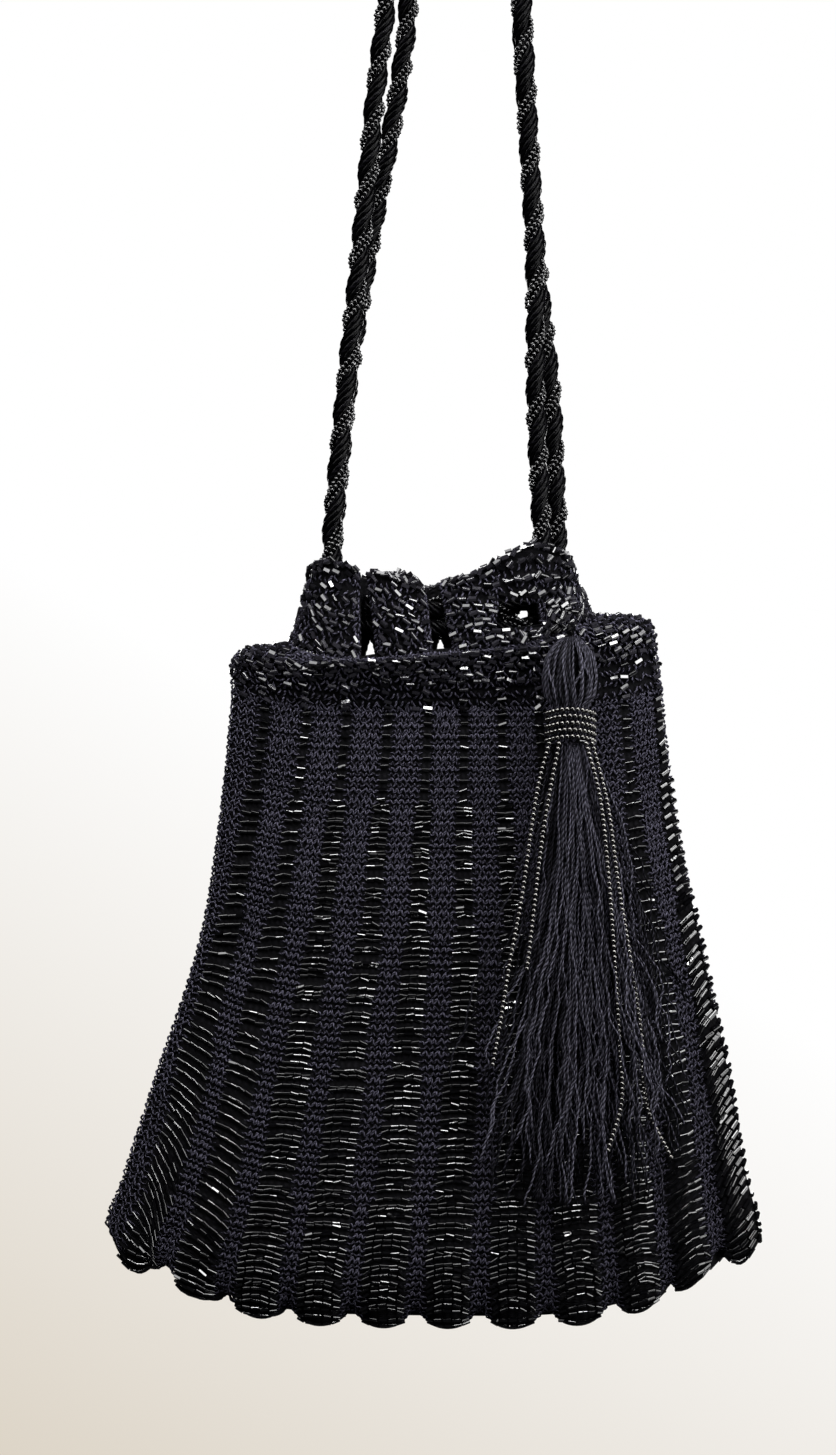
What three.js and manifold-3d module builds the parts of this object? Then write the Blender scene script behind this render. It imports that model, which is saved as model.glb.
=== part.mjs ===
// A knitted evening bag: a pouch whose columns of beads widen towards a scalloped bottom, a beaded band,
// a gathered heading with slits, two twisted drawstring loops and a thread tassel with strings of beads.
// Millimetres, +Z up, and the front of the bag faces -Y. The origin is where the bag hangs: midway
// between the two drawstring loops, level with the underside of the bends that go over a rod or an arm.

import * as THREE from "three";
import { mergeVertices } from "three/addons/utils/BufferGeometryUtils.js";
import Module from "manifold-3d";

const wasm = await Module();
wasm.setup();

// Driving dimensions
const GAP = 0.3; // between neighbouring pieces
const WALL = 2.2; // the knitted wall, without the beads that stand out of it
const SIDE_FOLD = 4.6; // the wall measured along X at the side folds, where the front turns into the back
const COLUMNS = 21; // bead columns round the pouch: the left fold is a rib and the right fold a column
const POINTS_PER_COLUMN = 4;
const BAND_POINTS = 64;
const HEADING_POINTS = 72;
const PLEAT_DEPTH = 1.4; // how far the gathered heading is drawn in at a slit
const PLEAT_WIDTH = 4.5;
const CORD_DIAMETER = 5.4;
const TIE_DIAMETER = 2;
const TASSEL_X = 32.4;
const TASSEL_Y = -20;
const BEAD_STRING_DIAMETER = 1.6;

// Sections of the bag, each a flattened ring: the places of its left and right folds, how far its middle
// hangs below them, its depth from front to back, and how square its ends are (1 is an ellipse).
const HEADING = [
  { leftX: -44.6, leftZ: -189.0, rightX: 35.6, rightZ: -189.4, sag: 2.0, depth: 34, ends: 0.72 },
  { leftX: -46.6, leftZ: -199.0, rightX: 37.6, rightZ: -196.5, sag: 2.0, depth: 35, ends: 0.72 },
  { leftX: -48.6, leftZ: -206.0, rightX: 38.4, rightZ: -200.5, sag: 4.5, depth: 35, ends: 0.72 },
  { leftX: -50.2, leftZ: -211.4, rightX: 38.4, rightZ: -202.9, sag: 7.0, depth: 34, ends: 0.75 },
];
const BAND = [
  { leftX: -50.6, leftZ: -211.8, rightX: 38.8, rightZ: -203.3, sag: 7.0, depth: 34, ends: 0.75 },
  { leftX: -64.6, leftZ: -213.6, rightX: 55.2, rightZ: -204.4, sag: 6.8, depth: 32, ends: 0.9 },
  { leftX: -67.8, leftZ: -219.0, rightX: 58.6, rightZ: -213.0, sag: 6.0, depth: 26, ends: 1 },
  { leftX: -67.8, leftZ: -226.0, rightX: 60.4, rightZ: -225.3, sag: 5.7, depth: 20, ends: 1 },
];
// The pouch also says how much lower its sag is at the right, and how far its bead columns stand out of
// the knitted ribs and drop below them.
const POUCH = [
  {
    leftX: -67.8, leftZ: -226.6, rightX: 60.4, rightZ: -225.9,
    sag: 5.7, lean: 0, depth: 18, ridge: 0.2, drop: 0,
  },
  {
    leftX: -71.2, leftZ: -262.0, rightX: 64.2, rightZ: -262.0,
    sag: 8.0, lean: 0, depth: 20, ridge: 0.6, drop: 0,
  },
  {
    leftX: -77.4, leftZ: -300.0, rightX: 71.8, rightZ: -300.0,
    sag: 12.0, lean: 0.01, depth: 22, ridge: 1.0, drop: 0,
  },
  {
    leftX: -90.0, leftZ: -340.0, rightX: 79.6, rightZ: -338.0,
    sag: 18.0, lean: 0.03, depth: 24, ridge: 1.5, drop: 0,
  },
  {
    leftX: -99.6, leftZ: -369.0, rightX: 84.2, rightZ: -366.0,
    sag: 24.0, lean: 0.05, depth: 22, ridge: 1.9, drop: 0.3,
  },
  {
    leftX: -104.6, leftZ: -380.0, rightX: 88.2, rightZ: -378.0,
    sag: 29.0, lean: 0.06, depth: 15, ridge: 2.0, drop: 1.4,
  },
  {
    leftX: -105.6, leftZ: -383.8, rightX: 89.4, rightZ: -382.0,
    sag: 31.4, lean: 0.06, depth: 5, ridge: 1.4, drop: 2.6,
  },
];
const POUCH_OUTER_ROWS = 15;
const POUCH_INNER_ROWS = 9;
const POUCH_INNER_END = 0.93; // the cavity stops this share of the way down to the bottom seam

// How far the heading's top edge rises above its first section, at even steps round it: from the left fold
// along the front, with a bunched part at the right, and back along the rear.
const TOP_EDGE_RISE = [2.6, 2.2, 1.2, -0.8, -3.4, 2.0, 8.6, 5.2, -1.6, 0.4, 1.0, 1.0, -1.2, 1.0, 0.6, 2.0];

// Slits between the strips of the heading, through its front and its back
const SLITS = [
  { x: -27.4, footZ: -215.2, topZ: -198.0, footWidth: 3.2, topWidth: 2.6 },
  { x: -7.0, footZ: -213.4, topZ: -198.4, footWidth: 2.6, topWidth: 4.4 },
  { x: 17.2, footZ: -207.6, topZ: -199.2, footWidth: 14.0, topWidth: 11.0 },
];

// The drawstrings: each comes out of its own side of the heading, goes over the rod and back, and then
// runs inside the heading, along the back wall, round the other end and along the front wall.
const LEFT_DRAWSTRING = [
  { x: -32.6, y: -9.2, z: -203.5 },
  { x: -36.8, y: -6.6, z: -196.5 },
  { x: -38.2, y: -5.0, z: -184.0 },
  { x: -36.8, y: -5.2, z: -163.5 },
  { x: -33.8, y: -5.6, z: -132.9 },
  { x: -30.8, y: -6.6, z: -105.3 },
  { x: -27.6, y: -7.6, z: -73.5 },
  { x: -25.2, y: -8.6, z: -48.9 },
  { x: -21.6, y: -9.6, z: -18.3 },
  { x: -20.9, y: -9.4, z: -7.0 },
  { x: -20.0, y: -6.7, z: 0.0 },
  { x: -18.5, y: 0.0, z: 2.7 },
  { x: -17.0, y: 6.7, z: 0.0 },
  { x: -16.1, y: 9.4, z: -7.0 },
  { x: -15.4, y: 9.6, z: -18.3 },
  { x: -19.2, y: 8.6, z: -48.9 },
  { x: -23.8, y: 7.6, z: -73.5 },
  { x: -28.8, y: 6.6, z: -102.0 },
  { x: -33.0, y: 5.6, z: -129.0 },
  { x: -36.4, y: 5.2, z: -162.0 },
  { x: -38.0, y: 5.0, z: -184.0 },
  { x: -36.8, y: 6.6, z: -196.5 },
  { x: -32.6, y: 9.2, z: -203.5 },
  { x: -24.0, y: 10.1, z: -206.6 },
  { x: -6.0, y: 10.8, z: -207.0 },
  { x: 12.0, y: 10.6, z: -206.6 },
  { x: 20.5, y: 8.4, z: -206.4 },
  { x: 26.0, y: 0.0, z: -206.4 },
  { x: 20.5, y: -8.4, z: -206.4 },
  { x: 12.0, y: -10.6, z: -206.6 },
  { x: -6.0, y: -10.8, z: -207.0 },
  { x: -25.0, y: -10.0, z: -206.2 },
];
const RIGHT_DRAWSTRING = [
  { x: 20.0, y: -9.6, z: -197.0 },
  { x: 24.0, y: -6.6, z: -190.0 },
  { x: 24.5, y: -5.6, z: -181.2 },
  { x: 23.6, y: -5.2, z: -160.5 },
  { x: 22.7, y: -5.4, z: -135.9 },
  { x: 22.4, y: -6.4, z: -97.8 },
  { x: 20.3, y: -8.0, z: -57.3 },
  { x: 18.5, y: -9.6, z: -18.3 },
  { x: 18.5, y: -9.4, z: -7.0 },
  { x: 18.5, y: -6.7, z: 0.0 },
  { x: 18.5, y: 0.0, z: 2.7 },
  { x: 18.5, y: 6.7, z: 0.0 },
  { x: 18.5, y: 9.4, z: -7.0 },
  { x: 18.7, y: 9.6, z: -18.3 },
  { x: 20.9, y: 8.0, z: -57.3 },
  { x: 23.6, y: 6.4, z: -97.8 },
  { x: 27.7, y: 5.4, z: -135.9 },
  { x: 28.9, y: 5.2, z: -160.5 },
  { x: 29.4, y: 5.2, z: -181.2 },
  { x: 27.4, y: 6.4, z: -190.5 },
  { x: 20.4, y: 9.2, z: -198.4 },
  { x: 10.0, y: 10.6, z: -200.4 },
  { x: -8.0, y: 10.8, z: -200.8 },
  { x: -20.0, y: 10.0, z: -200.2 },
  { x: -28.2, y: 6.0, z: -199.8 },
  { x: -30.8, y: 0.0, z: -199.8 },
  { x: -28.2, y: -6.0, z: -199.8 },
  { x: -20.0, y: -10.0, z: -200.2 },
  { x: -8.0, y: -10.8, z: -200.8 },
  { x: 11.5, y: -10.6, z: -200.2 },
];
const CORD_SIDES = 8;
const CORD_STEPS = 72;

// The tassel from its tied top down: how far below the tie, and its radius there.
const TASSEL_TOP_Z = -210;
const TASSEL_HEAD = [
  { below: 0, radius: 2.4 },
  { below: 2, radius: 5.0 },
  { below: 6, radius: 7.6 },
  { below: 12, radius: 8.6 },
  { below: 17, radius: 8.0 },
  { below: 20, radius: 6.0 },
  { below: 35, radius: 5.8 },
];
const TASSEL_TIE = [
  { x: 33.6, y: -11.9, z: -207.6 },
  { x: 33.0, y: -15.5, z: -206.2 },
  { x: 32.6, y: -19.0, z: -207.0 },
  { x: 32.4, y: -20.5, z: -209.0 },
];
const TIE_STEPS = 6;
const NECK_RADIUS = 6.0;
const NECK_TOP_BELOW = 20.6;
const NECK_STRINGS = 5; // turns of beads round the neck
const NECK_STRING_PITCH = 2.0;
const SIDES = 14;

// Locks of the skirt: where each ends, from the tassel's middle line, and how far below the tie.
const LOCK_TIPS = [
  { aside: -24, forward: 1, below: 146 },
  { aside: -17, forward: -4, below: 156 },
  { aside: -12, forward: 3, below: 161 },
  { aside: -6, forward: -4, below: 163 },
  { aside: 0, forward: 3, below: 166 },
  { aside: 7, forward: -4, below: 165 },
  { aside: 13, forward: 3, below: 161 },
  { aside: 20, forward: -4, below: 155 },
  { aside: 27, forward: 2, below: 152 },
  { aside: 33, forward: -1, below: 144 },
];
const LOCK_TOP_BELOW = 31.2;
const LOCK_TOP_SPREAD = 0.16; // share of a tip's offset that its lock has at the neck
const SKIRT_FORWARD = 1.5; // how far the skirt's tips lie in front of the tassel's middle line
const LOCK_RADII = [3.0, 4.2, 4.4, 3.8, 2.0];
const LOCK_SIDES = 6;

// Strings of beads that hang from the neck in front of the skirt: points aside from and in front of the
// tassel's middle line, and below the tie.
const BEAD_STRINGS = {
  bead_string_outer_left: [
    { aside: -6.4, forward: 5.0, below: 31.2 },
    { aside: -9.6, forward: 7.6, below: 43 },
    { aside: -12, forward: 8.5, below: 58 },
    { aside: -14.5, forward: 8.5, below: 76 },
    { aside: -18, forward: 8.5, below: 95 },
    { aside: -21, forward: 8.5, below: 114 },
    { aside: -23, forward: 8.5, below: 125 },
  ],
  bead_string_inner_left: [
    { aside: -3.6, forward: 7.0, below: 31.2 },
    { aside: -6.8, forward: 8.2, below: 48 },
    { aside: -9.2, forward: 8.5, below: 64 },
    { aside: -11, forward: 8.5, below: 80 },
    { aside: -13, forward: 8.5, below: 97 },
  ],
  bead_string_inner_right: [
    { aside: 4.4, forward: 6.8, below: 31.2 },
    { aside: 8.2, forward: 8.2, below: 46 },
    { aside: 10.6, forward: 8.5, below: 67 },
    { aside: 12.4, forward: 8.5, below: 91 },
    { aside: 14, forward: 8.5, below: 118 },
    { aside: 14.6, forward: 8.5, below: 136 },
    { aside: 10.6, forward: 8.5, below: 150 },
  ],
  bead_string_outer_right: [
    { aside: 6.3, forward: 4.8, below: 31.2 },
    { aside: 10.6, forward: 7.6, below: 49 },
    { aside: 13.4, forward: 8.5, below: 70 },
    { aside: 17, forward: 8.5, below: 93 },
    { aside: 20.4, forward: 8.5, below: 116 },
    { aside: 22, forward: 8.5, below: 137 },
    { aside: 29, forward: 8.5, below: 152 },
  ],
};
const BEAD_STRING_SIDES = 6;
const BEAD_STRING_STEPS = 15;

// Materials
const knit = new THREE.MeshStandardMaterial({ color: 0x1b1a1d, roughness: 0.9, metalness: 0 });
const beadwork = new THREE.MeshStandardMaterial({ color: 0x0b0b0d, roughness: 0.3, metalness: 0 });
const cordage = new THREE.MeshStandardMaterial({ color: 0x151417, roughness: 0.7, metalness: 0 });
const tasselThread = new THREE.MeshStandardMaterial({ color: 0x1d1c20, roughness: 0.8, metalness: 0 });

const lerp = THREE.MathUtils.lerp;

// One value between the second and third of four in a row, on a smooth curve through them.
function smooth(before, from, to, after, share) {
  const out = (to - before) / 2;
  const into = (after - from) / 2;
  const a = 2 * (from - to) + out + into;
  const b = 3 * (to - from) - 2 * out - into;
  return ((a * share + b) * share + out) * share + from;
}

// The section a share of the way down a list of sections.
function sectionAt(sections, share) {
  const last = sections.length - 1;
  const place = share * last;
  const i = Math.min(Math.floor(place), last - 1);
  const four = [i - 1, i, i + 1, i + 2].map((n) => sections[THREE.MathUtils.clamp(n, 0, last)]);
  const values = Object.keys(sections[0]).map((key) => [key, smooth(...four.map((s) => s[key]), place - i)]);
  return Object.fromEntries(values);
}

// The same section seen from inside the wall.
function inside(section, lower = 0) {
  return {
    ...section,
    leftX: section.leftX + SIDE_FOLD,
    rightX: section.rightX - SIDE_FOLD,
    leftZ: section.leftZ - lower,
    rightZ: section.rightZ - lower,
    depth: Math.max(section.depth - 2 * WALL, 1),
  };
}

// A point of a section: angle 0 is the left fold, a quarter turn the front and half a turn the right fold.
function sectionPoint({ leftX, leftZ, rightX, rightZ, sag, lean = 0, depth, ends = 1 }, angle) {
  const squared = (value) => Math.sign(value) * Math.abs(value) ** ends;
  const across = -squared(Math.cos(angle));
  const side = (across + 1) / 2;
  const z = lerp(leftZ, rightZ, side) - sag * (1 - across ** 4) * (1 + lean * across);
  return new THREE.Vector3(lerp(leftX, rightX, side), (-depth / 2) * squared(Math.sin(angle)), z);
}

// Points round a section at even distances from the left fold. swell(share, point) says how far a point
// stands out of the section and drops below it.
function ring(section, count, swell = () => ({ out: 0, down: 0 })) {
  const samples = 720;
  const turn = (2 * Math.PI) / samples;
  const outline = Array.from({ length: samples + 1 }, (_, i) => sectionPoint(section, i * turn));
  const along = [0];
  for (let i = 0; i < samples; i += 1) {
    along.push(along[i] + Math.hypot(outline[i + 1].x - outline[i].x, outline[i + 1].y - outline[i].y));
  }
  const total = along[samples];
  return Array.from({ length: count }, (_, n) => {
    const reach = (n / count) * total;
    const i = along.findIndex((d) => d > reach) - 1;
    const point = outline[i].clone().lerp(outline[i + 1], (reach - along[i]) / (along[i + 1] - along[i]));
    const tangent = outline[i + 1].clone().sub(outline[i]).setZ(0).normalize();
    const { out, down } = swell(n / count, point);
    return point.add(new THREE.Vector3(tangent.y * out, -tangent.x * out, -down));
  });
}

// A surface through rings that have the same, even number of points. Closed, it is a wall with an open
// middle: down its outer side and up its inner one. Otherwise its first and last rings are filled in with
// strips from front to back.
function skin(rings, closed) {
  const count = rings[0].length;
  const faces = [];
  const bands = closed ? rings.length : rings.length - 1;
  for (let r = 0; r < bands; r += 1) {
    for (let n = 0; n < count; n += 1) {
      const here = r * count + n;
      const beside = r * count + ((n + 1) % count);
      const under = ((r + 1) % rings.length) * count + n;
      const across = ((r + 1) % rings.length) * count + ((n + 1) % count);
      faces.push(here, under, beside, beside, under, across);
    }
  }
  if (!closed) {
    faces.push(...filling(0, count, false), ...filling((rings.length - 1) * count, count, true));
  }
  const geometry = new THREE.BufferGeometry().setFromPoints(rings.flat());
  geometry.setIndex(faces);
  return geometry;
}

// Faces that fill a ring, seen from above or from below
function filling(first, count, below) {
  const faces = [];
  for (let n = 0; n < count / 2; n += 1) {
    const [front, nextFront, nextBack, back] = [n, n + 1, count - n - 1, (count - n) % count];
    const strip = [];
    if (nextFront !== nextBack) strip.push([front, nextFront, nextBack]);
    if (front !== back) strip.push([front, nextBack, back]);
    strip.forEach((face) => faces.push(...(below ? face.reverse() : face).map((i) => first + i)));
  }
  return faces;
}

// Between a three.js geometry and a solid that can be joined and cut
function solidOf(geometry) {
  const bare = geometry.clone();
  bare.deleteAttribute("normal");
  bare.deleteAttribute("uv");
  const merged = mergeVertices(bare, 1e-4);
  return new wasm.Manifold(
    new wasm.Mesh({
      numProp: 3,
      vertProperties: new Float32Array(merged.attributes.position.array),
      triVerts: new Uint32Array(merged.index.array),
    }),
  );
}

function geometryOf(solid) {
  const { vertProperties, triVerts } = solid.getMesh();
  const geometry = new THREE.BufferGeometry();
  geometry.setAttribute("position", new THREE.BufferAttribute(vertProperties, 3));
  geometry.setIndex(new THREE.BufferAttribute(triVerts, 1));
  return geometry;
}

function meshOf(name, geometry, material) {
  geometry.computeVertexNormals();
  const mesh = new THREE.Mesh(geometry, material);
  mesh.name = name;
  return mesh;
}

// Pouch: up its cavity, over its rim and down its ribbed outside to the bottom seam
function pouch() {
  const count = COLUMNS * POINTS_PER_COLUMN;
  const cavity = Array.from({ length: POUCH_INNER_ROWS }, (_, r) => {
    const share = POUCH_INNER_END * (1 - r / (POUCH_INNER_ROWS - 1));
    return ring(inside(sectionAt(POUCH, share)), count);
  });
  const outside = Array.from({ length: POUCH_OUTER_ROWS }, (_, r) => {
    const section = sectionAt(POUCH, r / (POUCH_OUTER_ROWS - 1));
    return ring(section, count, (share) => {
      const bulge = Math.sin(Math.PI * ((share * COLUMNS) % 1));
      return { out: section.ridge * bulge, down: section.drop * bulge };
    });
  });
  return meshOf("pouch", skin([...cavity, ...outside], false), knit);
}

// Band: its outside from the shoulder down to the pouch, and back up inside
function beadBand() {
  const outside = BAND.map((section) => ring(section, BAND_POINTS));
  const within = BAND.map((section, r) => {
    const shoulder = r === 0;
    const seen = inside(section, shoulder || r === 1 ? WALL : 0);
    const edge = shoulder ? { leftX: section.leftX + WALL, rightX: section.rightX - WALL } : {};
    return ring({ ...seen, ...edge }, BAND_POINTS);
  }).reverse();
  return meshOf("bead_band", skin([...outside, ...within], true), beadwork);
}

// Gathered heading: strips drawn in at the slits, with a rising and falling top edge
function gatheredHeading() {
  const swell = (r) => (share, { x }) => {
    const drawn = SLITS.reduce((sum, slit) => sum + Math.exp(-(((x - slit.x) / PLEAT_WIDTH) ** 2)), 0);
    return { out: -PLEAT_DEPTH * Math.min(drawn, 1), down: r === 0 ? -topEdgeRise(share) : 0 };
  };
  const outside = HEADING.map((section, r) => ring(section, HEADING_POINTS, swell(r)));
  const within = HEADING.map((section, r) => {
    const [leftX, rightX] = [section.leftX + WALL, section.rightX - WALL];
    return ring({ ...section, leftX, rightX, depth: section.depth - 2 * WALL }, HEADING_POINTS, swell(r));
  }).reverse();
  const whole = solidOf(skin([...outside, ...within], true));
  const slitted = SLITS.reduce((wall, slit) => wall.subtract(slitBar(slit)), whole);
  return meshOf("gathered_heading", geometryOf(slitted), beadwork);
}

function topEdgeRise(share) {
  const steps = TOP_EDGE_RISE.length;
  const place = share * steps;
  const i = Math.floor(place);
  const four = [i - 1, i, i + 1, i + 2].map((n) => TOP_EDGE_RISE[(n + steps) % steps]);
  return smooth(...four, place - i);
}

// A bar in the form of a slit, long enough to cut the front and the back
function slitBar({ x, footZ, topZ, footWidth, topWidth }) {
  const outline = new THREE.Shape([
    new THREE.Vector2(x - footWidth / 2, footZ),
    new THREE.Vector2(x + footWidth / 2, footZ),
    new THREE.Vector2(x + topWidth / 2, topZ),
    new THREE.Vector2(x - topWidth / 2, topZ),
  ]);
  const length = 2 * HEADING[0].depth;
  const bar = new THREE.ExtrudeGeometry(outline, { depth: length, bevelEnabled: false });
  bar.rotateX(Math.PI / 2).translate(0, length / 2, 0);
  return solidOf(bar);
}

// A round tube along points, for a cord or for a string of beads
function tube(name, points, diameter, sides, steps, material) {
  const places = points.map(({ x, y, z }) => new THREE.Vector3(x, y, z));
  const extrudePath = new THREE.CatmullRomCurve3(places, false, "centripetal");
  const corners = Array.from({ length: sides }, (_, i) => {
    const angle = (2 * Math.PI * i) / sides;
    return new THREE.Vector2(Math.cos(angle), Math.sin(angle)).multiplyScalar(diameter / 2);
  });
  return meshOf(name, new THREE.ExtrudeGeometry(new THREE.Shape(corners), { steps, extrudePath }), material);
}

// A tapering lock of threads from the neck to its tip
function lock({ aside, forward, below }) {
  const last = LOCK_RADII.length - 1;
  const rings = LOCK_RADII.map((radius, i) => {
    const share = i / last;
    const spread = lerp(LOCK_TOP_SPREAD, 1, share);
    const centre = new THREE.Vector3(
      TASSEL_X + aside * spread,
      TASSEL_Y - (SKIRT_FORWARD + forward) * share,
      TASSEL_TOP_Z - lerp(LOCK_TOP_BELOW, below, share),
    );
    return circle(centre, radius, LOCK_SIDES);
  });
  return solidOf(skin(rings, false));
}

function circle(centre, radius, sides) {
  return Array.from({ length: sides }, (_, i) => {
    const angle = (2 * Math.PI * i) / sides;
    return centre.clone().add(new THREE.Vector3(Math.cos(angle), Math.sin(angle), 0).multiplyScalar(radius));
  });
}

// Tassel: a bundled head and a skirt of locks, all one piece
function tassel() {
  const head = TASSEL_HEAD.map(({ below, radius }) =>
    circle(new THREE.Vector3(TASSEL_X, TASSEL_Y, TASSEL_TOP_Z - below), radius, SIDES),
  );
  const bundle = LOCK_TIPS.reduce((sum, tip) => sum.add(lock(tip)), solidOf(skin(head, false)));
  return meshOf("tassel", geometryOf(bundle), tasselThread);
}

// Turns of beads wound round the neck of the tassel, as one ribbed collar
function neckBeads() {
  const inner = NECK_RADIUS + GAP;
  const profile = [];
  for (let edge = 0; edge <= NECK_STRINGS; edge += 0.5) {
    const groove = Number.isInteger(edge);
    profile.push({ below: NECK_TOP_BELOW + edge * NECK_STRING_PITCH, radius: inner + (groove ? 1.0 : 1.6) });
  }
  profile.push({ below: profile[profile.length - 1].below, radius: inner });
  profile.push({ below: NECK_TOP_BELOW, radius: inner });
  const rings = profile.map(({ below, radius }) =>
    circle(new THREE.Vector3(TASSEL_X, TASSEL_Y, TASSEL_TOP_Z - below), radius, SIDES),
  );
  return meshOf("tassel_neck_beads", skin(rings, true), beadwork);
}

// A string of beads in front of the skirt
function beadString(name, places) {
  const points = places.map(({ aside, forward, below }) => ({
    x: TASSEL_X + aside,
    y: TASSEL_Y - forward,
    z: TASSEL_TOP_Z - below,
  }));
  return tube(name, points, BEAD_STRING_DIAMETER, BEAD_STRING_SIDES, BEAD_STRING_STEPS, beadwork);
}

const bag = new THREE.Group();
bag.add(pouch(), beadBand(), gatheredHeading());
bag.add(tube("drawstring_left", LEFT_DRAWSTRING, CORD_DIAMETER, CORD_SIDES, CORD_STEPS, cordage));
bag.add(tube("drawstring_right", RIGHT_DRAWSTRING, CORD_DIAMETER, CORD_SIDES, CORD_STEPS, cordage));
bag.add(tube("tassel_tie", TASSEL_TIE, TIE_DIAMETER, CORD_SIDES, TIE_STEPS, cordage));
bag.add(tassel(), neckBeads());
Object.entries(BEAD_STRINGS).forEach(([name, places]) => bag.add(beadString(name, places)));

export default bag;
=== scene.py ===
# %% [markdown]
# # A knitted evening bag with columns of jet beads
#
# The bag is knitted in black yarn. Columns of bugle beads run down it like ladders between narrow
# ribs, a closer band of beads goes round its top, and two twisted cords draw the heading together.
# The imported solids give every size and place, so this lesson dresses them: yarn, beads, cords and
# threads are worked out as arrays of points, in millimetres, and laid on the same surfaces.

import bpy
import numpy as np
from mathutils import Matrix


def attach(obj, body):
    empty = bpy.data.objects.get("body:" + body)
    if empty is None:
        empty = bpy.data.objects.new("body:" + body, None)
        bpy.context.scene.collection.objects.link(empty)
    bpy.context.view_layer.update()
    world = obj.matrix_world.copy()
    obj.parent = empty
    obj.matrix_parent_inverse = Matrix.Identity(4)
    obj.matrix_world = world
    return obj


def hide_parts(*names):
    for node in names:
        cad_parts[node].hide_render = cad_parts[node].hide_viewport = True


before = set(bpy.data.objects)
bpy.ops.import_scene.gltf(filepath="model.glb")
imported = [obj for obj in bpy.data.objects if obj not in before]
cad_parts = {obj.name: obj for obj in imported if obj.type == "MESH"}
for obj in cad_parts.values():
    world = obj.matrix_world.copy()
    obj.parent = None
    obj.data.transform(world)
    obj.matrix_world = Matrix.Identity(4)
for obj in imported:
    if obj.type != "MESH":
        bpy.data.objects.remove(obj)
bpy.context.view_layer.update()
print("solids:", ", ".join(sorted(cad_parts)))

# %% [markdown]
# ## The camera
#
# The bag hangs free and is seen straight from the front. A level camera is placed over the middle of
# the picture, and its lens follows from how much of the bag's plane the picture shows.

# %% Camera
MM = 0.001
VIEW_X, VIEW_Z = -12.45, -236.55  # the middle of the picture, on the bag's own plane
VIEW_DISTANCE = 1100.0
VIEW_HEIGHT = 436.5  # of the bag's plane, along the picture's long side

lens = bpy.data.cameras.new("camera")
lens.sensor_width = 36.0
lens.lens = lens.sensor_width * VIEW_DISTANCE / VIEW_HEIGHT
camera = bpy.data.objects.new("camera", lens)
camera.location = (VIEW_X * MM, -VIEW_DISTANCE * MM, VIEW_Z * MM)
camera.rotation_euler = (np.pi / 2, 0, 0)
bpy.context.scene.collection.objects.link(camera)
bpy.context.scene.camera = camera
print("lens", round(lens.lens, 1), "mm")

# %% [markdown]
# ## Finishes from sums
#
# Each finish is a small sum of patterns: the twist of a thread, fine fuzz, slow changes of dye. Nodes
# can be wired by hand, but sums read better as sums. So one class wraps a socket, and its operators
# add the Math nodes; any other node comes from one method.


# %% A socket that can be added and multiplied
class Channel:
    """One number that changes over a surface; +, -, * and wave() add Math nodes to its tree."""

    def __init__(self, nodes, socket):
        self.nodes, self.socket = nodes, socket

    def other(self, output):
        """Another output of the same node."""
        return Channel(self.nodes, self.socket.node.outputs[output])

    def maths(self, operation, *numbers):
        return self.nodes.node("ShaderNodeMath", {"operation": operation}, dict(enumerate(numbers)))

    def __add__(self, other):
        return self.maths("ADD", self, other)

    def __sub__(self, other):
        return self.maths("SUBTRACT", self, other)

    def __rsub__(self, other):
        return self.maths("SUBTRACT", other, self)

    def __mul__(self, other):
        return self.maths("MULTIPLY", self, other)

    __radd__, __rmul__ = __add__, __mul__

    def wave(self):
        """A smooth wave from 0 to 1, once for each whole number."""
        return self.maths("SINE", self * (2 * np.pi)) * 0.5 + 0.5


# %% A tree of nodes, and a finish made with it
class Nodes:
    """A node tree: node() adds any node, and feed() sets or links its sockets."""

    def __init__(self, tree):
        self.tree = tree

    def node(self, kind, settings=None, sockets=None, output=0):
        made = self.tree.nodes.new(kind)
        for key, value in (settings or {}).items():
            setattr(made, key, value)
        self.feed(made, sockets or {})
        return Channel(self, made.outputs[output])

    def feed(self, made, sockets):
        for key, value in sockets.items():
            if isinstance(value, Channel):
                self.tree.links.new(value.socket, made.inputs[key])
            else:
                made.inputs[key].default_value = value

    def mix(self, share, low, high):
        sockets = {"Factor": share, 6: (*low, 1.0), 7: (*high, 1.0)}
        return self.node("ShaderNodeMix", {"data_type": "RGBA"}, sockets, output=2)


class Finish(Nodes):
    """A material: its patterns are channels, and shine() ends in the surface shader."""

    def __init__(self, name):
        self.material = bpy.data.materials.new(name)
        self.material.use_nodes = True
        super().__init__(self.material.node_tree)

    def chart(self):
        """The two numbers of the piece's own map."""
        across = self.node("ShaderNodeSeparateXYZ", None, {0: self.node("ShaderNodeUVMap")})
        return across, across.other(1)

    def own(self):
        """The number that each thread or bead has of its own."""
        return self.node("ShaderNodeAttribute", {"attribute_name": "own"}, output="Fac")

    def noise(self, scale, detail=2.0):
        place = self.node("ShaderNodeTexCoord", output="Object")
        return self.node("ShaderNodeTexNoise", None, {"Vector": place, "Scale": scale, "Detail": detail})

    def bump(self, height, strength, distance):
        sockets = {"Height": height, "Strength": strength, "Distance": distance}
        return self.node("ShaderNodeBump", None, sockets)

    def shine(self, **sockets):
        named = {key.replace("_", " "): value for key, value in sockets.items()}
        self.feed(self.tree.nodes["Principled BSDF"], named)
        return self.material
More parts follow.
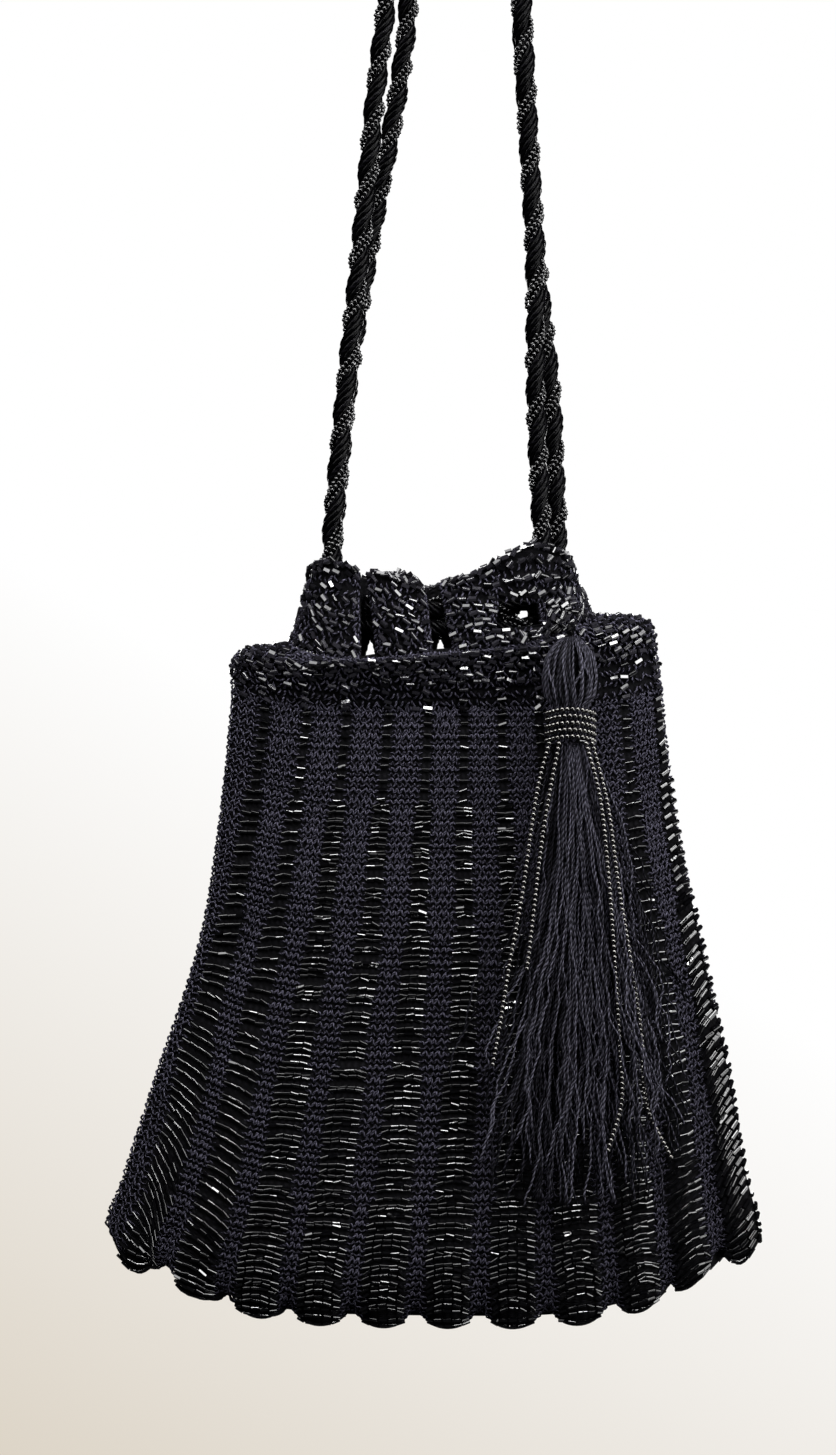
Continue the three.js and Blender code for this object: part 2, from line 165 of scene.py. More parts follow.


# %% [markdown]
# ## Black threads
#
# Knitting yarn, cord strands and tassel threads are all plied cotton: two or three plies wound round
# each other, dyed black. The soft greyish gleam on the crown of every ply and the shade in the grooves
# between are painted into the colour. The plies follow the thread's own map, which counts once round the
# thread and in millimetres along it, so the twist stays on the thread.


# %% Thread finish
def thread_finish(name, dark, pale, turn, roughness, gloss, depth=0.00012):
    """Plied thread: a wave of (share round + length / turn), painted dark as shade in the groove and pale as
    a gleam at the ply's crown.
    """
    finish = Finish(name)
    (around, along), own = finish.chart(), finish.own()
    ply = (around * 2 + along * (1 / turn) + own * 9).wave()
    fuzz, dye = finish.noise(2600.0), finish.noise(38.0)
    # painted shade and gleam: the ply wave darkens the grooves and lightens the crowns; fuzz and dye vary the
    # tone, and own is each thread's tone, with any painted shade given to it
    tone = (ply * ply * 0.9 + fuzz * 0.3 + dye * 0.3 - 0.2) * (own * 1.1 + 0.12)
    return finish.shine(
        Base_Color=finish.mix(tone, dark, pale),
        Roughness=fuzz * 0.2 + roughness,
        Normal=finish.bump(ply + fuzz * 0.4, 0.8, depth),
        Specular_IOR_Level=gloss,
    )


KNIT_YARN = thread_finish("knit_yarn", (0.002, 0.0019, 0.0026), (0.126, 0.12, 0.168),
                          turn=1.4, roughness=0.6, gloss=0.03)
CORD_THREAD = thread_finish("cord_thread", (0.0002, 0.0002, 0.0003), (0.004, 0.0037, 0.005),
                            turn=2.2, roughness=0.16, gloss=0.05, depth=0.00003)
TASSEL_THREAD = thread_finish("tassel_thread", (0.0004, 0.0004, 0.0005), (0.12, 0.116, 0.152),
                              turn=1.9, roughness=0.5, gloss=0.03)
print("thread finishes:", KNIT_YARN.name, CORD_THREAD.name, TASSEL_THREAD.name)

# %% [markdown]
# ## Jet glass
#
# The beads are opaque black glass. They look black because almost nothing comes back except mirror
# gleams, so the shader is nearly black with a low roughness. Each bead carries a number of its own,
# which makes some a little duller than their neighbours, and some a little greyer with a painted
# reflection of the soft surroundings in their colour. The beads of the band are softer, and greyer with
# more of that painted reflection, and the seed beads of the tassel are brighter mirrors, as heavier
# glass is, with a warmer gleam.


# %% Glass finish
def glass_finish(name, roughness, bend, pale, tint=(1, 1, 1)):
    """Polished glass whose roughness varies from bead to bead, with slight waves in its surface. The more
    it bends light, the brighter it mirrors; tint is the colour of the mirror images, and pale is a painted
    reflection: how much soft light from the surroundings is painted into the colour of the palest bead."""
    finish = Finish(name)
    own = finish.own()
    waves = finish.noise(700.0, 1.0)
    return finish.shine(
        # painted reflection: own mixes each bead's colour from black towards pale, in place of soft light
        # mirrored from the surroundings
        Base_Color=finish.mix(own, (0.0005, 0.0005, 0.0007), (pale, pale * 0.95, pale * 1.2)),
        Roughness=own * 0.06 + roughness,
        Normal=finish.bump(waves, 0.12, 0.0002),
        IOR=bend,
        Specular_Tint=(*tint, 1.0),
    )


JET_GLASS = glass_finish("jet_glass", roughness=0.02, bend=1.6, pale=0.002)
# the band's beads get the most painted reflection, which makes them greyer
BAND_GLASS = glass_finish("band_glass", roughness=0.07, bend=1.6, pale=0.024)
TASSEL_GLASS = glass_finish("tassel_glass", roughness=0.04, bend=2.0, pale=0.002, tint=(1, 0.97, 0.91))
print("glass finishes:", JET_GLASS.name, BAND_GLASS.name, TASSEL_GLASS.name)

# %% [markdown]
# ## From arrays to pieces
#
# Nearly everything here is a tube round a line: yarn, cord strands and threads, and also beads, which
# are very short tubes. One function makes all tubes of a piece at once from an array of lines, and
# another puts points and faces into a mesh.


# %% Tubes round many lines
def unit(vectors):
    """The same directions with length 1."""
    return vectors / np.maximum(np.linalg.norm(vectors, axis=-1, keepdims=True), 1e-12)


def tubes(lines, up, radius, sides):
    """Tubes round lines (count, steps, 3): line + radius * (cos a * side + sin a * up), a going round.

    side is at right angles to the line and to `up`. Returns points, walls and ends, and the map of the
    walls' corners: the share round the tube and the millimetres along its line."""
    count, steps, _ = lines.shape
    along = unit(np.gradient(lines, axis=1))
    side = unit(np.cross(along, np.broadcast_to(up, lines.shape)))
    above = np.cross(side, along)
    turn = 2 * np.pi * np.arange(sides) / sides
    ring = np.cos(turn)[:, None] * side[:, :, None] + np.sin(turn)[:, None] * above[:, :, None]
    thick = np.broadcast_to(radius, (count, steps))[:, :, None, None]
    points = (lines[:, :, None] + thick * ring).reshape(-1, 3)
    index = np.arange(count * steps * sides).reshape(count, steps, sides)
    beside = np.roll(index, -1, axis=2)
    walls = np.stack([index[:, :-1], index[:, 1:], beside[:, 1:], beside[:, :-1]], -1).reshape(-1, 4)
    ends = np.concatenate([index[:, 0], index[:, -1, ::-1]])
    far = np.cumsum(np.linalg.norm(np.diff(lines, axis=1, prepend=lines[:, :1]), axis=2), axis=1)
    chart = np.empty((count, steps - 1, sides, 4, 2))
    chart[..., 0] = (np.arange(sides)[:, None] + np.array([0, 0, 1, 1])) / sides
    chart[..., :2, 1] = np.stack([far[:, :-1], far[:, 1:]], -1)[:, :, None]
    chart[..., 2:, 1] = np.stack([far[:, 1:], far[:, :-1]], -1)[:, :, None]
    return points, walls, ends, chart.reshape(-1, 2)


# %% A mesh from arrays
triangle_counts = {}


def make_piece(name, points, faces, finish, stands_for=(), chart=None, own=None):
    """One object at the origin. faces is a list of arrays, one row of corners for each face; chart is the
    map of the first array's corners, and own is a number for each point."""
    mesh = bpy.data.meshes.new(name)
    corners = np.concatenate([part.ravel() for part in faces]).astype(np.int32)
    sizes = np.concatenate([np.full(len(part), part.shape[1]) for part in faces])
    mesh.vertices.add(len(points))
    mesh.vertices.foreach_set("co", (points * MM).astype(np.float32).ravel())
    mesh.loops.add(len(corners))
    mesh.loops.foreach_set("vertex_index", corners)
    mesh.polygons.add(len(sizes))
    mesh.polygons.foreach_set("loop_start", np.concatenate([[0], np.cumsum(sizes)[:-1]]).astype(np.int32))
    mesh.polygons.foreach_set("use_smooth", np.ones(len(sizes), bool))
    if chart is not None:
        whole = np.zeros((len(corners), 2), np.float32)
        whole[: len(chart)] = chart
        mesh.uv_layers.new(name="UVMap").uv.foreach_set("vector", whole.ravel())
    if own is not None:
        mesh.attributes.new("own", "FLOAT", "POINT").data.foreach_set("value", own.astype(np.float32))
    mesh.update(calc_edges=True)
    mesh.materials.append(finish)
    piece = bpy.data.objects.new(name, mesh)
    bpy.context.scene.collection.objects.link(piece)
    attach(piece, "root")
    if stands_for:
        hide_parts(*stands_for)
    triangle_counts[name] = int((sizes - 2).sum())
    print(name, triangle_counts[name], "triangles")
    return piece


# %% Threads and beads as pieces
def thread_piece(name, lines, up, radius, sides, finish, stands_for=(), tone=0.5):
    """All lines of one kind of thread as one piece; tone is how pale each line is, from 0 to 1."""
    points, walls, ends, chart = tubes(lines, up, radius, sides)
    own = np.repeat(np.broadcast_to(tone, len(lines)), len(points) // len(lines))
    return make_piece(name, points, [walls, ends], finish, stands_for, chart, own)


BUGLE = np.array([(-0.5, 1.0), (0.5, 1.0)])  # share of the length along the bead, share of its radius
SEED = np.array([(-0.5, 0.55), (0.0, 1.0), (0.5, 0.55)])
ROUND_SEED = np.array([(-0.5, 0.4), (-0.3, 0.85), (0.0, 1.0), (0.3, 0.85), (0.5, 0.4)])
BEAD_EDGE = 1.3  # edges that bend more than this angle stay sharp, such as a bugle's cut ends
FACE_LIGHT, FACE_SPREAD = -0.23, 0.1  # the roll at which a five-sided bead on upright cloth mirrors the light


def bead_piece(name, centre, axis, up, length, radius, form, sides, rng, cut_share=0.0, stands_for=(),
               finish=JET_GLASS, facing=0.0):
    """Beads as very short tubes: each has the profile `form` along its axis, through its centre, and is
    rolled round it by chance. A share of them are cut, so that their sides are flat, and a share of those
    with five sides lie with one side to the light above."""
    axis = unit(axis)
    roll = rng.uniform(0, 2 * np.pi, (len(centre), 1))
    faces_light = rng.random(len(centre)) < facing
    turned = rng.normal(FACE_LIGHT, FACE_SPREAD, (faces_light.sum(), 1))
    roll[faces_light] = np.arcsin(up[faces_light, 2:]) + turned
    up = np.cos(roll) * up + np.sin(roll) * np.cross(axis, up)
    reach = np.broadcast_to(length, len(centre))[:, None, None] * form[:, :1]
    thick = np.broadcast_to(radius, len(centre))[:, None] * form[:, 1]
    points, walls, ends, _ = tubes(centre[:, None] + axis[:, None] * reach, up[:, None], thick, sides)
    own = np.repeat(rng.random(len(centre)), len(form) * sides)
    is_cut = (rng.random(len(centre)) < cut_share) | faces_light
    flat = np.concatenate([np.repeat(is_cut, (len(form) - 1) * sides), np.full(len(ends), form is BUGLE)])
    piece = make_piece(name, points, [walls, ends], finish, stands_for, own=own)
    piece.data.set_sharp_from_angle(angle=BEAD_EDGE)
    piece.data.polygons.foreach_set("use_smooth", ~flat)
    return piece


# %% [markdown]
# ## The drawstrings
#
# Each drawstring is a loop of twisted cord with two plies: a little rope of smooth threads, and a
# bundle of four strings of seed beads. The plies wind round each other, so the cord is lumpy and its
# beads come to the front once in every turn. It leaves the heading on its own side, goes over whatever
# the bag hangs from, comes back, and then runs round inside the heading. The route is a short list of
# given points; a smooth curve goes through them, and the plies wind round that curve.

# %% Routes of the two loops
LEFT_ROUTE = [
    (-32.6, -9.2, -203.5), (-36.8, -6.6, -196.5), (-38.2, -5.0, -184.0), (-36.8, -5.2, -163.5),
    (-33.8, -5.6, -132.9), (-30.8, -6.6, -105.3), (-27.6, -7.6, -73.5), (-25.2, -8.6, -48.9),
    (-21.6, -9.6, -18.3), (-20.9, -9.4, -7.0), (-20.0, -6.7, 0.0), (-18.5, 0.0, 2.7),
    (-17.0, 6.7, 0.0), (-16.1, 9.4, -7.0), (-15.4, 9.6, -18.3), (-19.2, 8.6, -48.9),
    (-23.8, 7.6, -73.5), (-28.8, 6.6, -102.0), (-33.0, 5.6, -129.0), (-36.4, 5.2, -162.0),
    (-38.0, 5.0, -184.0), (-36.8, 6.6, -196.5), (-32.6, 9.2, -203.5), (-24.0, 10.1, -206.6),
    (-6.0, 10.8, -207.0), (12.0, 10.6, -206.6), (20.5, 8.4, -206.4), (26.0, 0.0, -206.4),
    (20.5, -8.4, -206.4), (12.0, -10.6, -206.6), (-6.0, -10.8, -207.0), (-25.0, -10.0, -206.2),
]
RIGHT_ROUTE = [
    (20.0, -9.6, -197.0), (24.0, -6.6, -190.0), (24.5, -5.6, -181.2), (23.6, -5.2, -160.5),
    (22.7, -5.4, -135.9), (22.4, -6.4, -97.8), (20.3, -8.0, -57.3), (18.5, -9.6, -18.3),
    (18.5, -9.4, -7.0), (18.5, -6.7, 0.0), (18.5, 0.0, 2.7), (18.5, 6.7, 0.0),
    (18.5, 9.4, -7.0), (18.7, 9.6, -18.3), (20.9, 8.0, -57.3), (23.6, 6.4, -97.8),
    (27.7, 5.4, -135.9), (28.9, 5.2, -160.5), (29.4, 5.2, -181.2), (27.4, 6.4, -190.5),
    (20.4, 9.2, -198.4), (10.0, 10.6, -200.4), (-8.0, 10.8, -200.8), (-20.0, 10.0, -200.2),
    (-28.2, 6.0, -199.8), (-30.8, 0.0, -199.8), (-28.2, -6.0, -199.8), (-20.0, -10.0, -200.2),
    (-8.0, -10.8, -200.8), (11.5, -10.6, -200.2),
]

# %% A smooth line through points
CURVE_STEPS = 60  # for each point of a route


def far_along(line, power=1):
    """How far along a line its points lie, when each step counts as its length to a power."""
    return np.concatenate([[0], np.cumsum(np.linalg.norm(np.diff(line, axis=0), axis=1) ** power)])


def heads(line):
    """The direction in which a line runs at each of its points."""
    return unit(np.gradient(line, axis=0))


def even_line(line, step):
    """The same line with its points at equal steps along it."""
    far = far_along(line)
    wanted = np.linspace(0, far[-1], max(int(round(far[-1] / step)), 1) + 1)
    return np.stack([np.interp(wanted, far, line[:, axis]) for axis in range(3)], -1)


def route_line(points, step):
    """A line through the points. Knots lie apart by the square root of the distances, and each place is
    blended three times between neighbouring points, which gives a cubic that doesn't overshoot."""
    p = np.array(points, float)
    p = np.vstack([2 * p[0] - p[1], p, 2 * p[-1] - p[-2]])
    knot = far_along(p, 0.5)
    t = np.linspace(knot[1], knot[-2], CURVE_STEPS * len(points))
    first = np.clip(np.searchsorted(knot, t, side="right") - 2, 0, len(p) - 4)
    rows = [p[first + k] for k in range(4)]
    for width in (1, 2, 2):
        blended = []
        for k in range(len(rows) - 1):
            start = first + k if len(rows) > 2 else first + 1
            low = knot[start]
            high = knot[start + (width if len(rows) > 2 else 1)]
            share = ((t - low) / (high - low))[:, None]
            blended.append(rows[k] * (1 - share) + rows[k + 1] * share)
        rows = blended
    return even_line(rows[0], step)


def steady_up(line, start):
    """Directions at right angles to a line that turn round it as little as they can."""
    ups = [np.array(start, float)]
    for direction in heads(line):
        ups.append(unit(ups[-1] - direction * (ups[-1] @ direction)))
    return np.array(ups[1:])


# %% A twisted cord of threads and beads
CORD_DIAMETER, CORD_STEP = 5.4, 0.95
CORD_LAY = 18.0  # length of cord in which a ply goes once round
ROPE_ASIDE, ROPE_WIND, ROPE_LAY, ROPE_THREADS, STRAND_RADIUS = 0.8, 1.75, 20.0, 7, 0.72
BEADS_ASIDE, BEADS_WIND, BEADS_LAY, BEAD_LINES = 1.55, 1.2, 30.0, 4
SEED_PITCH, SEED_LENGTH, SEED_RADIUS, SEED_SPREAD, SEED_TILT = 1.5, 1.3, 0.8, 0.05, 0.15
SEED_UP = (0.31, -0.77, 0.55)  # a direction that no bead of the cords lies along


def wound(line, shares, aside, lay):
    """Lines wound round a line: line + aside * (cos a * side + sin a * up), with a falling by one turn in
    each lay, and starting at each of the shares of a turn."""
    up = steady_up(line, (0, -1, 0))
    side = unit(np.cross(heads(line), up))
    angle = 2 * np.pi * (np.array(shares)[:, None] - far_along(line) / lay)
    return line + aside * (np.cos(angle)[..., None] * side + np.sin(angle)[..., None] * up)


def drawstring(name, route, rng):
    """The threads and the seed beads of one loop, laid round its route."""
    line = route_line(route, CORD_STEP)
    rope = wound(line, [0], ROPE_ASIDE, CORD_LAY)[0]
    threads = wound(rope, np.arange(ROPE_THREADS) / ROPE_THREADS, ROPE_WIND, ROPE_LAY)
    cord = thread_piece(name + "_cord", threads, unit(threads - rope), STRAND_RADIUS, 5, CORD_THREAD,
                        (name,), rng.random(len(threads)))
    bundle = wound(line, [0.5], BEADS_ASIDE, CORD_LAY)[0]
    strings = wound(bundle, np.arange(BEAD_LINES) / BEAD_LINES, BEADS_WIND, BEADS_LAY)
    strings = [even_line(string, SEED_PITCH) for string in strings]
    centre = np.concatenate(strings)
    axis = np.concatenate([heads(string) for string in strings]) + rng.normal(0, SEED_TILT, centre.shape)
    size = rng.normal(SEED_RADIUS, SEED_SPREAD, len(centre))
    up = np.broadcast_to(SEED_UP, centre.shape)
    beads = bead_piece(name + "_beads", centre, axis, up, SEED_LENGTH, size, SEED, 6, rng)


drawstring("drawstring_left", LEFT_ROUTE, np.random.default_rng(11))
drawstring("drawstring_right", RIGHT_ROUTE, np.random.default_rng(12))

# %% [markdown]
# ## The surfaces of the bag
#
# The solids were made from sections: flattened rings, each with a left fold and a right fold, a sag
# between them and a depth. The same short tables give the surfaces here. A surface is kept as a fine
# grid of points and directions, and everything that is knitted or beaded asks it for its place.


# %% Sections of the heading, the band and the pouch
def table(names, *rows):
    """A short table as a dictionary with one array for each named column."""
    return dict(zip(names.split(), np.array(rows, float).T))


HEADING = table(
    "left_x left_z right_x right_z sag depth ends",
    (-44.6, -189.0, 35.6, -189.4, 2.0, 34, 0.72),
    (-46.6, -199.0, 37.6, -196.5, 2.0, 35, 0.72),
    (-48.6, -206.0, 38.4, -200.5, 4.5, 35, 0.72),
    (-50.2, -211.4, 38.4, -202.9, 7.0, 34, 0.75),
)
BAND = table(
    "left_x left_z right_x right_z sag depth ends",
    (-50.6, -211.8, 38.8, -203.3, 7.0, 34, 0.75),
    (-64.6, -213.6, 55.2, -204.4, 6.8, 32, 0.9),
    (-67.8, -219.0, 58.6, -213.0, 6.0, 26, 1),
    (-67.8, -226.0, 60.4, -225.3, 5.7, 20, 1),
)
POUCH = table(
    "left_x left_z right_x right_z sag lean depth ridge drop",
    (-67.8, -226.6, 60.4, -225.9, 5.7, 0.00, 18, 0.2, 0.0),
    (-71.2, -262.0, 64.2, -262.0, 8.0, 0.00, 20, 0.6, 0.0),
    (-77.4, -300.0, 71.8, -300.0, 12.0, 0.01, 22, 1.0, 0.0),
    (-90.0, -340.0, 79.6, -338.0, 18.0, 0.03, 24, 1.5, 0.0),
    (-99.6, -369.0, 84.2, -366.0, 24.0, 0.05, 22, 1.9, 0.3),
    (-104.6, -380.0, 88.2, -378.0, 29.0, 0.06, 15, 2.0, 1.4),
    (-105.6, -383.8, 89.4, -382.0, 31.4, 0.06, 5, 1.4, 2.6),
)

# %% A ring at any height
RING_STEPS = 720


def between(column, place):
    """A value on a smooth curve through a column: a cubic whose slope at each row is half the step from
    the row before to the row after."""
    last = len(column) - 1
    i = np.clip(np.floor(place).astype(int), 0, last - 1)
    t = place - i
    before, low, high, after = (column[np.clip(i + k, 0, last)] for k in (-1, 0, 1, 2))
    out, into = (high - before) / 2, (after - low) / 2
    return ((2 * (low - high) + out + into) * t + 3 * (high - low) - 2 * out - into) * t * t + out * t + low


def section_at(rows, place):
    """The values of a table's columns at places that are counted in its rows."""
    return {name: between(column, place)[:, None] for name, column in rows.items()}


def rings(section, share):
    """Points at even shares of each ring's girth, from the left fold along the front, with the outward
    direction seen from above, and the girths.

    On a ring, across = -cos(a) to the power `ends`, and depth = sin(a) to the same power; the height falls
    from the folds by sag * (1 - across ** 4). The rings' shares are set 2 apart, so that one search finds
    the places on all of them."""
    turn = np.linspace(0, 2 * np.pi, RING_STEPS + 1)
    ends, lean = section.get("ends", 1.0), section.get("lean", 0.0)
    across = -np.sign(np.cos(turn)) * np.abs(np.cos(turn)) ** ends
    middle = (across + 1) / 2
    x = section["left_x"] * (1 - middle) + section["right_x"] * middle
    y = -section["depth"] / 2 * np.sign(np.sin(turn)) * np.abs(np.sin(turn)) ** ends
    z = section["left_z"] * (1 - middle) + section["right_z"] * middle
    z = z - section["sag"] * (1 - across**4) * (1 + lean * across)
    far = np.cumsum(np.hypot(np.diff(x, prepend=x[:, :1]), np.diff(y, prepend=y[:, :1])), axis=1)
    level = 2.0 * np.arange(len(far))[:, None]
    places = np.searchsorted((far / far[:, -1:] + level).ravel(), (share + level).ravel(), side="right")
    before = 1 + (RING_STEPS + 1) * np.arange(len(far))[:, None]
    i = np.clip(places.reshape(len(far), -1) - before, 0, RING_STEPS - 1)
    outline = np.stack([x, y, z], -1)
    low = np.take_along_axis(outline, i[..., None], 1)
    high = np.take_along_axis(outline, i[..., None] + 1, 1)
    start, end = np.take_along_axis(far, i, 1), np.take_along_axis(far, i + 1, 1)
    t = (share * far[:, -1:] - start) / (end - start)
    step = unit((high - low) * (1, 1, 0))
    outward = np.stack([step[..., 1], -step[..., 0], 0 * step[..., 0]], -1)
    return low + (high - low) * t[..., None], outward, far[:, -1]


# %% A surface that can be asked for places
DOWN_STEPS = 400


class Skin:
    """A surface of the bag. down and share are grids from 0 to 1: from its top edge to its foot, and from
    the left fold along the front and round the back."""

    def __init__(self, rows, swell, downs=181, shares=756):
        down, share = np.linspace(0, 1, downs), np.arange(shares) / shares
        place = down * (len(rows["sag"]) - 1)
        section = section_at(rows, place)
        points, outward, self.girth = rings(section, share)
        out, drop = swell(share, place[:, None], points, section)
        points = points + outward * np.asarray(out)[..., None] - np.asarray(drop)[..., None] * (0, 0, 1)
        run = unit(np.roll(points, -1, 1) - np.roll(points, 1, 1))
        fall = unit(np.gradient(points, axis=0))
        out = unit(np.cross(fall, run))
        self.grid = np.concatenate([points, out, run, fall], -1)

    def at(self, share, down):
        """The point, and the directions outward, round and down, found between the four nearest points."""
        downs, shares, _ = self.grid.shape
        a, b = (np.asarray(share) % 1) * shares, np.clip(down, 0, 1) * (downs - 1)
        a, b = np.broadcast_arrays(a, b)
        i, j = np.floor(a).astype(int) % shares, np.clip(np.floor(b).astype(int), 0, downs - 2)
        s, t = (a - np.floor(a))[..., None], (b - j)[..., None]
        top = self.grid[j, i] * (1 - s) + self.grid[j, (i + 1) % shares] * s
        foot = self.grid[j + 1, i] * (1 - s) + self.grid[j + 1, (i + 1) % shares] * s
        return np.split(top * (1 - t) + foot * t, 4, axis=-1)

    def levels(self, share, pitch):
        """Places down the surface a pitch apart, measured along it at one share, and how far down they are.
        The pitch is one number, or one for each of DOWN_STEPS even steps of `down`."""
        down = np.linspace(0, 1, DOWN_STEPS)
        line = self.at(np.full(DOWN_STEPS, share), down)[0]
        step = np.linalg.norm(np.diff(line, axis=0, prepend=line[:1]), axis=1)
        rounds = np.cumsum(step / pitch)
        middles = (np.arange(int(round(rounds[-1]))) + 0.5) * rounds[-1] / round(rounds[-1])
        return np.interp(middles, rounds, down), np.interp(middles, rounds, np.cumsum(step))


# %% The pouch's surface
COLUMNS = 21
SHIFT_DOWN = (0.03, 0.37, 0.55, 0.75)  # the places down the bag of the next table's last four columns
COLUMN_SHIFT = table(
    "column top middle low foot",
    (0, 0.3, 0.06, 0.2, 0.08), (0.5, 0.42, 0.08, 0.21, 0.08), (1.5, 0.43, -0.08, 0.03, -0.1),
    (2.5, 0.37, -0.11, -0.06, -0.09), (3.5, 0.36, -0.06, -0.06, -0.09), (4.5, 0.29, -0.03, -0.02, -0.04),
    (5.5, 0.14, 0.03, 0, -0.01), (6.5, 0.03, 0.07, 0.04, 0.04), (7.5, -0.08, 0.1, 0.08, 0.14),
    (8.5, -0.1, 0.13, 0.1, 0.13), (9.5, -0.03, -0.02, -0.07, -0.07), (10.5, -0.2, -0.27, -0.28, -0.27),
    (11.5, -0.2, -0.27, -0.28, -0.27), (13, -0.1, -0.1, -0.1, -0.1), (16, 0, 0, 0, 0),
    (20.5, 0, -0.05, 0, -0.05), (21, 0.3, 0.06, 0.2, 0.08),
)


def column_shift(column, down):
    """How many columns the pattern has slipped round the bag, which hangs a little unevenly."""
    at_column, *slips = COLUMN_SHIFT.values()
    around = [np.interp(column % COLUMNS, at_column, slip) for slip in slips]
    return sum(slip * np.interp(down, SHIFT_DOWN, near) for slip, near in zip(around, np.eye(4)))


def column_share(column, down):
    """The share of the girth at a place counted in columns from the left fold."""
    return (column + column_shift(column, down)) / COLUMNS


# full lobes at both ends of the foot
CORNERS = table("x half_width fall", (-101.0, 8.5, 6.4), (87.5, 8.0, 8.0))
FOOT_ROUND, FOOT_FALL = 0.4, 1.9  # half the width of a column's half round, in columns, and its fall


def pouch_swell(share, place, points, section):
    """Bead columns stand out of the ribs by ridge * sin(pi * share of a column). At the foot they drop in
    half rounds, the ribs between them are drawn up, and each corner sags by fall * (1 - aside squared)."""
    down = place / (len(POUCH["sag"]) - 1)
    columns = np.linspace(-2, COLUMNS + 2, 251)
    f = np.stack([np.interp(share, column_share(columns, d), columns) for d in down[:, 0]]) % 1
    round_foot = np.sqrt(np.maximum(1 - ((f - 0.5) / FOOT_ROUND) ** 2, 0))
    aside = (points[..., :1] - CORNERS["x"]) / CORNERS["half_width"]
    sag = (CORNERS["fall"] * np.maximum(1 - aside**2, 0)).sum(-1) / POUCH["drop"][-1]
    return section["ridge"] * np.sin(np.pi * f), section["drop"] * (FOOT_FALL * round_foot - 1.0 + sag)


pouch = Skin(POUCH, pouch_swell)
print("girth of the pouch:", pouch.girth[0].round(), "to", pouch.girth[-1].round(), "mm")

# %% [markdown]
# ## Rungs and ribs
#
# The pouch is garter stitch worked in rounds. In every round the yarn knits a rib of a few stitches,
# then carries one to five bugle beads across the ladder, then knits the next rib. So each round is one
# long line: a zigzag over the ribs, straight across the ladders. Two rounds make a ridge; of the two,
# one shows as tall zigzags and the other as low bumps.

# %% Where the rounds lie
TOP_OF_KNIT, RUNG_PITCHES = (0.2, 0.32), (1.62, 1.94)  # rounds are closer down to here, then wider
BEAD_PITCH = 2.45
MORE_BEADS = (28.0, 66.0, 106.0, 145.0)  # how far down another bead is added to each rung
LADDER_ROOM = 0.6  # bare yarn beside the beads of a rung, both ends together
SINGLE_FOOT, SINGLE_PITCHES = (0.82, 0.92), (3.3, 1.8)  # rungs near the folds don't lie in pairs
FRONT_MIDDLE = 0.25  # share of the girth


def rounds_apart(places, pitches):
    """How far down the rounds lie, the beads in a rung, the column's width, and the beads' share of it, when
    the pitch of the rounds changes between two places down the bag."""
    pitch = np.interp(np.linspace(0, 1, DOWN_STEPS), places, pitches)
    level, fallen = pouch.levels(FRONT_MIDDLE, pitch)
    count = 1 + np.searchsorted(MORE_BEADS, fallen)
    width = np.interp(level, np.linspace(0, 1, len(pouch.girth)), pouch.girth) / COLUMNS
    return level, count, width, count * BEAD_PITCH / width


paired_rounds = rounds_apart(TOP_OF_KNIT, RUNG_PITCHES)
single_rounds = rounds_apart(SINGLE_FOOT, SINGLE_PITCHES)
levels, _, column_width, beaded = paired_rounds
ladder = beaded + LADDER_ROOM / column_width
print(len(levels), "rounds; columns", column_width[0].round(1), "to", column_width[-1].round(1), "mm")

# %% How the rungs lean
SLOPE_DOWN = (0.0, 0.3, 0.5, 0.6, 0.7, 0.82, 1.0)
RUNG_SLOPE = {  # against the round, for columns counted from the left fold, at those places down the bag
    0: (-0.05, -0.35, 0.2, 0.8, 1.6, 0.7, -0.3),
    1: (-0.05, -0.2, 0.2, 0.25, 0.3, 0.05, -0.2),
    2: (0.0, -0.08, -0.06, -0.06, -0.08, -0.12, -0.1),
    9: (0.0, 0.05, 0.0, -0.05, -0.1, -0.1, 0.0),
    10: (-0.1, -0.2, -0.4, -0.6, -0.7, -0.4, 0.0),
}
SINGLE = (0, 1, 9, 10, 11, 19, 20)  # columns near the folds
THICK = (10, 11)  # columns round the right fold, with thicker beads


def rung_slope(column, down):
    """How steeply the rungs run down, away from the nearer fold; the back repeats the front."""
    on_front = column < COLUMNS / 2
    alike = np.where(on_front, column, COLUMNS - 1 - column)
    steep = sum(np.where(alike == number, np.interp(down, SLOPE_DOWN, slopes), 0)
                for number, slopes in RUNG_SLOPE.items())
    return steep * np.where(on_front, 1, -1)


def ladder_width(column, rounds):
    """The share of a column that its ladder takes in some rounds; steep rungs take less room across."""
    return ladder[rounds] / np.hypot(1, rung_slope(column, levels[rounds]))


# %% Yarn of the ribs
STITCH_WIDTH = 1.85
STITCH_DRIFT, STITCH_WAVE, STITCH_SPREAD = 0.16, 0.12, 0.15
BEHIND_AT, BEHIND = np.array([0.25, 0.5, 0.75]), 0.8  # places across a ladder, and the yarn's depth there


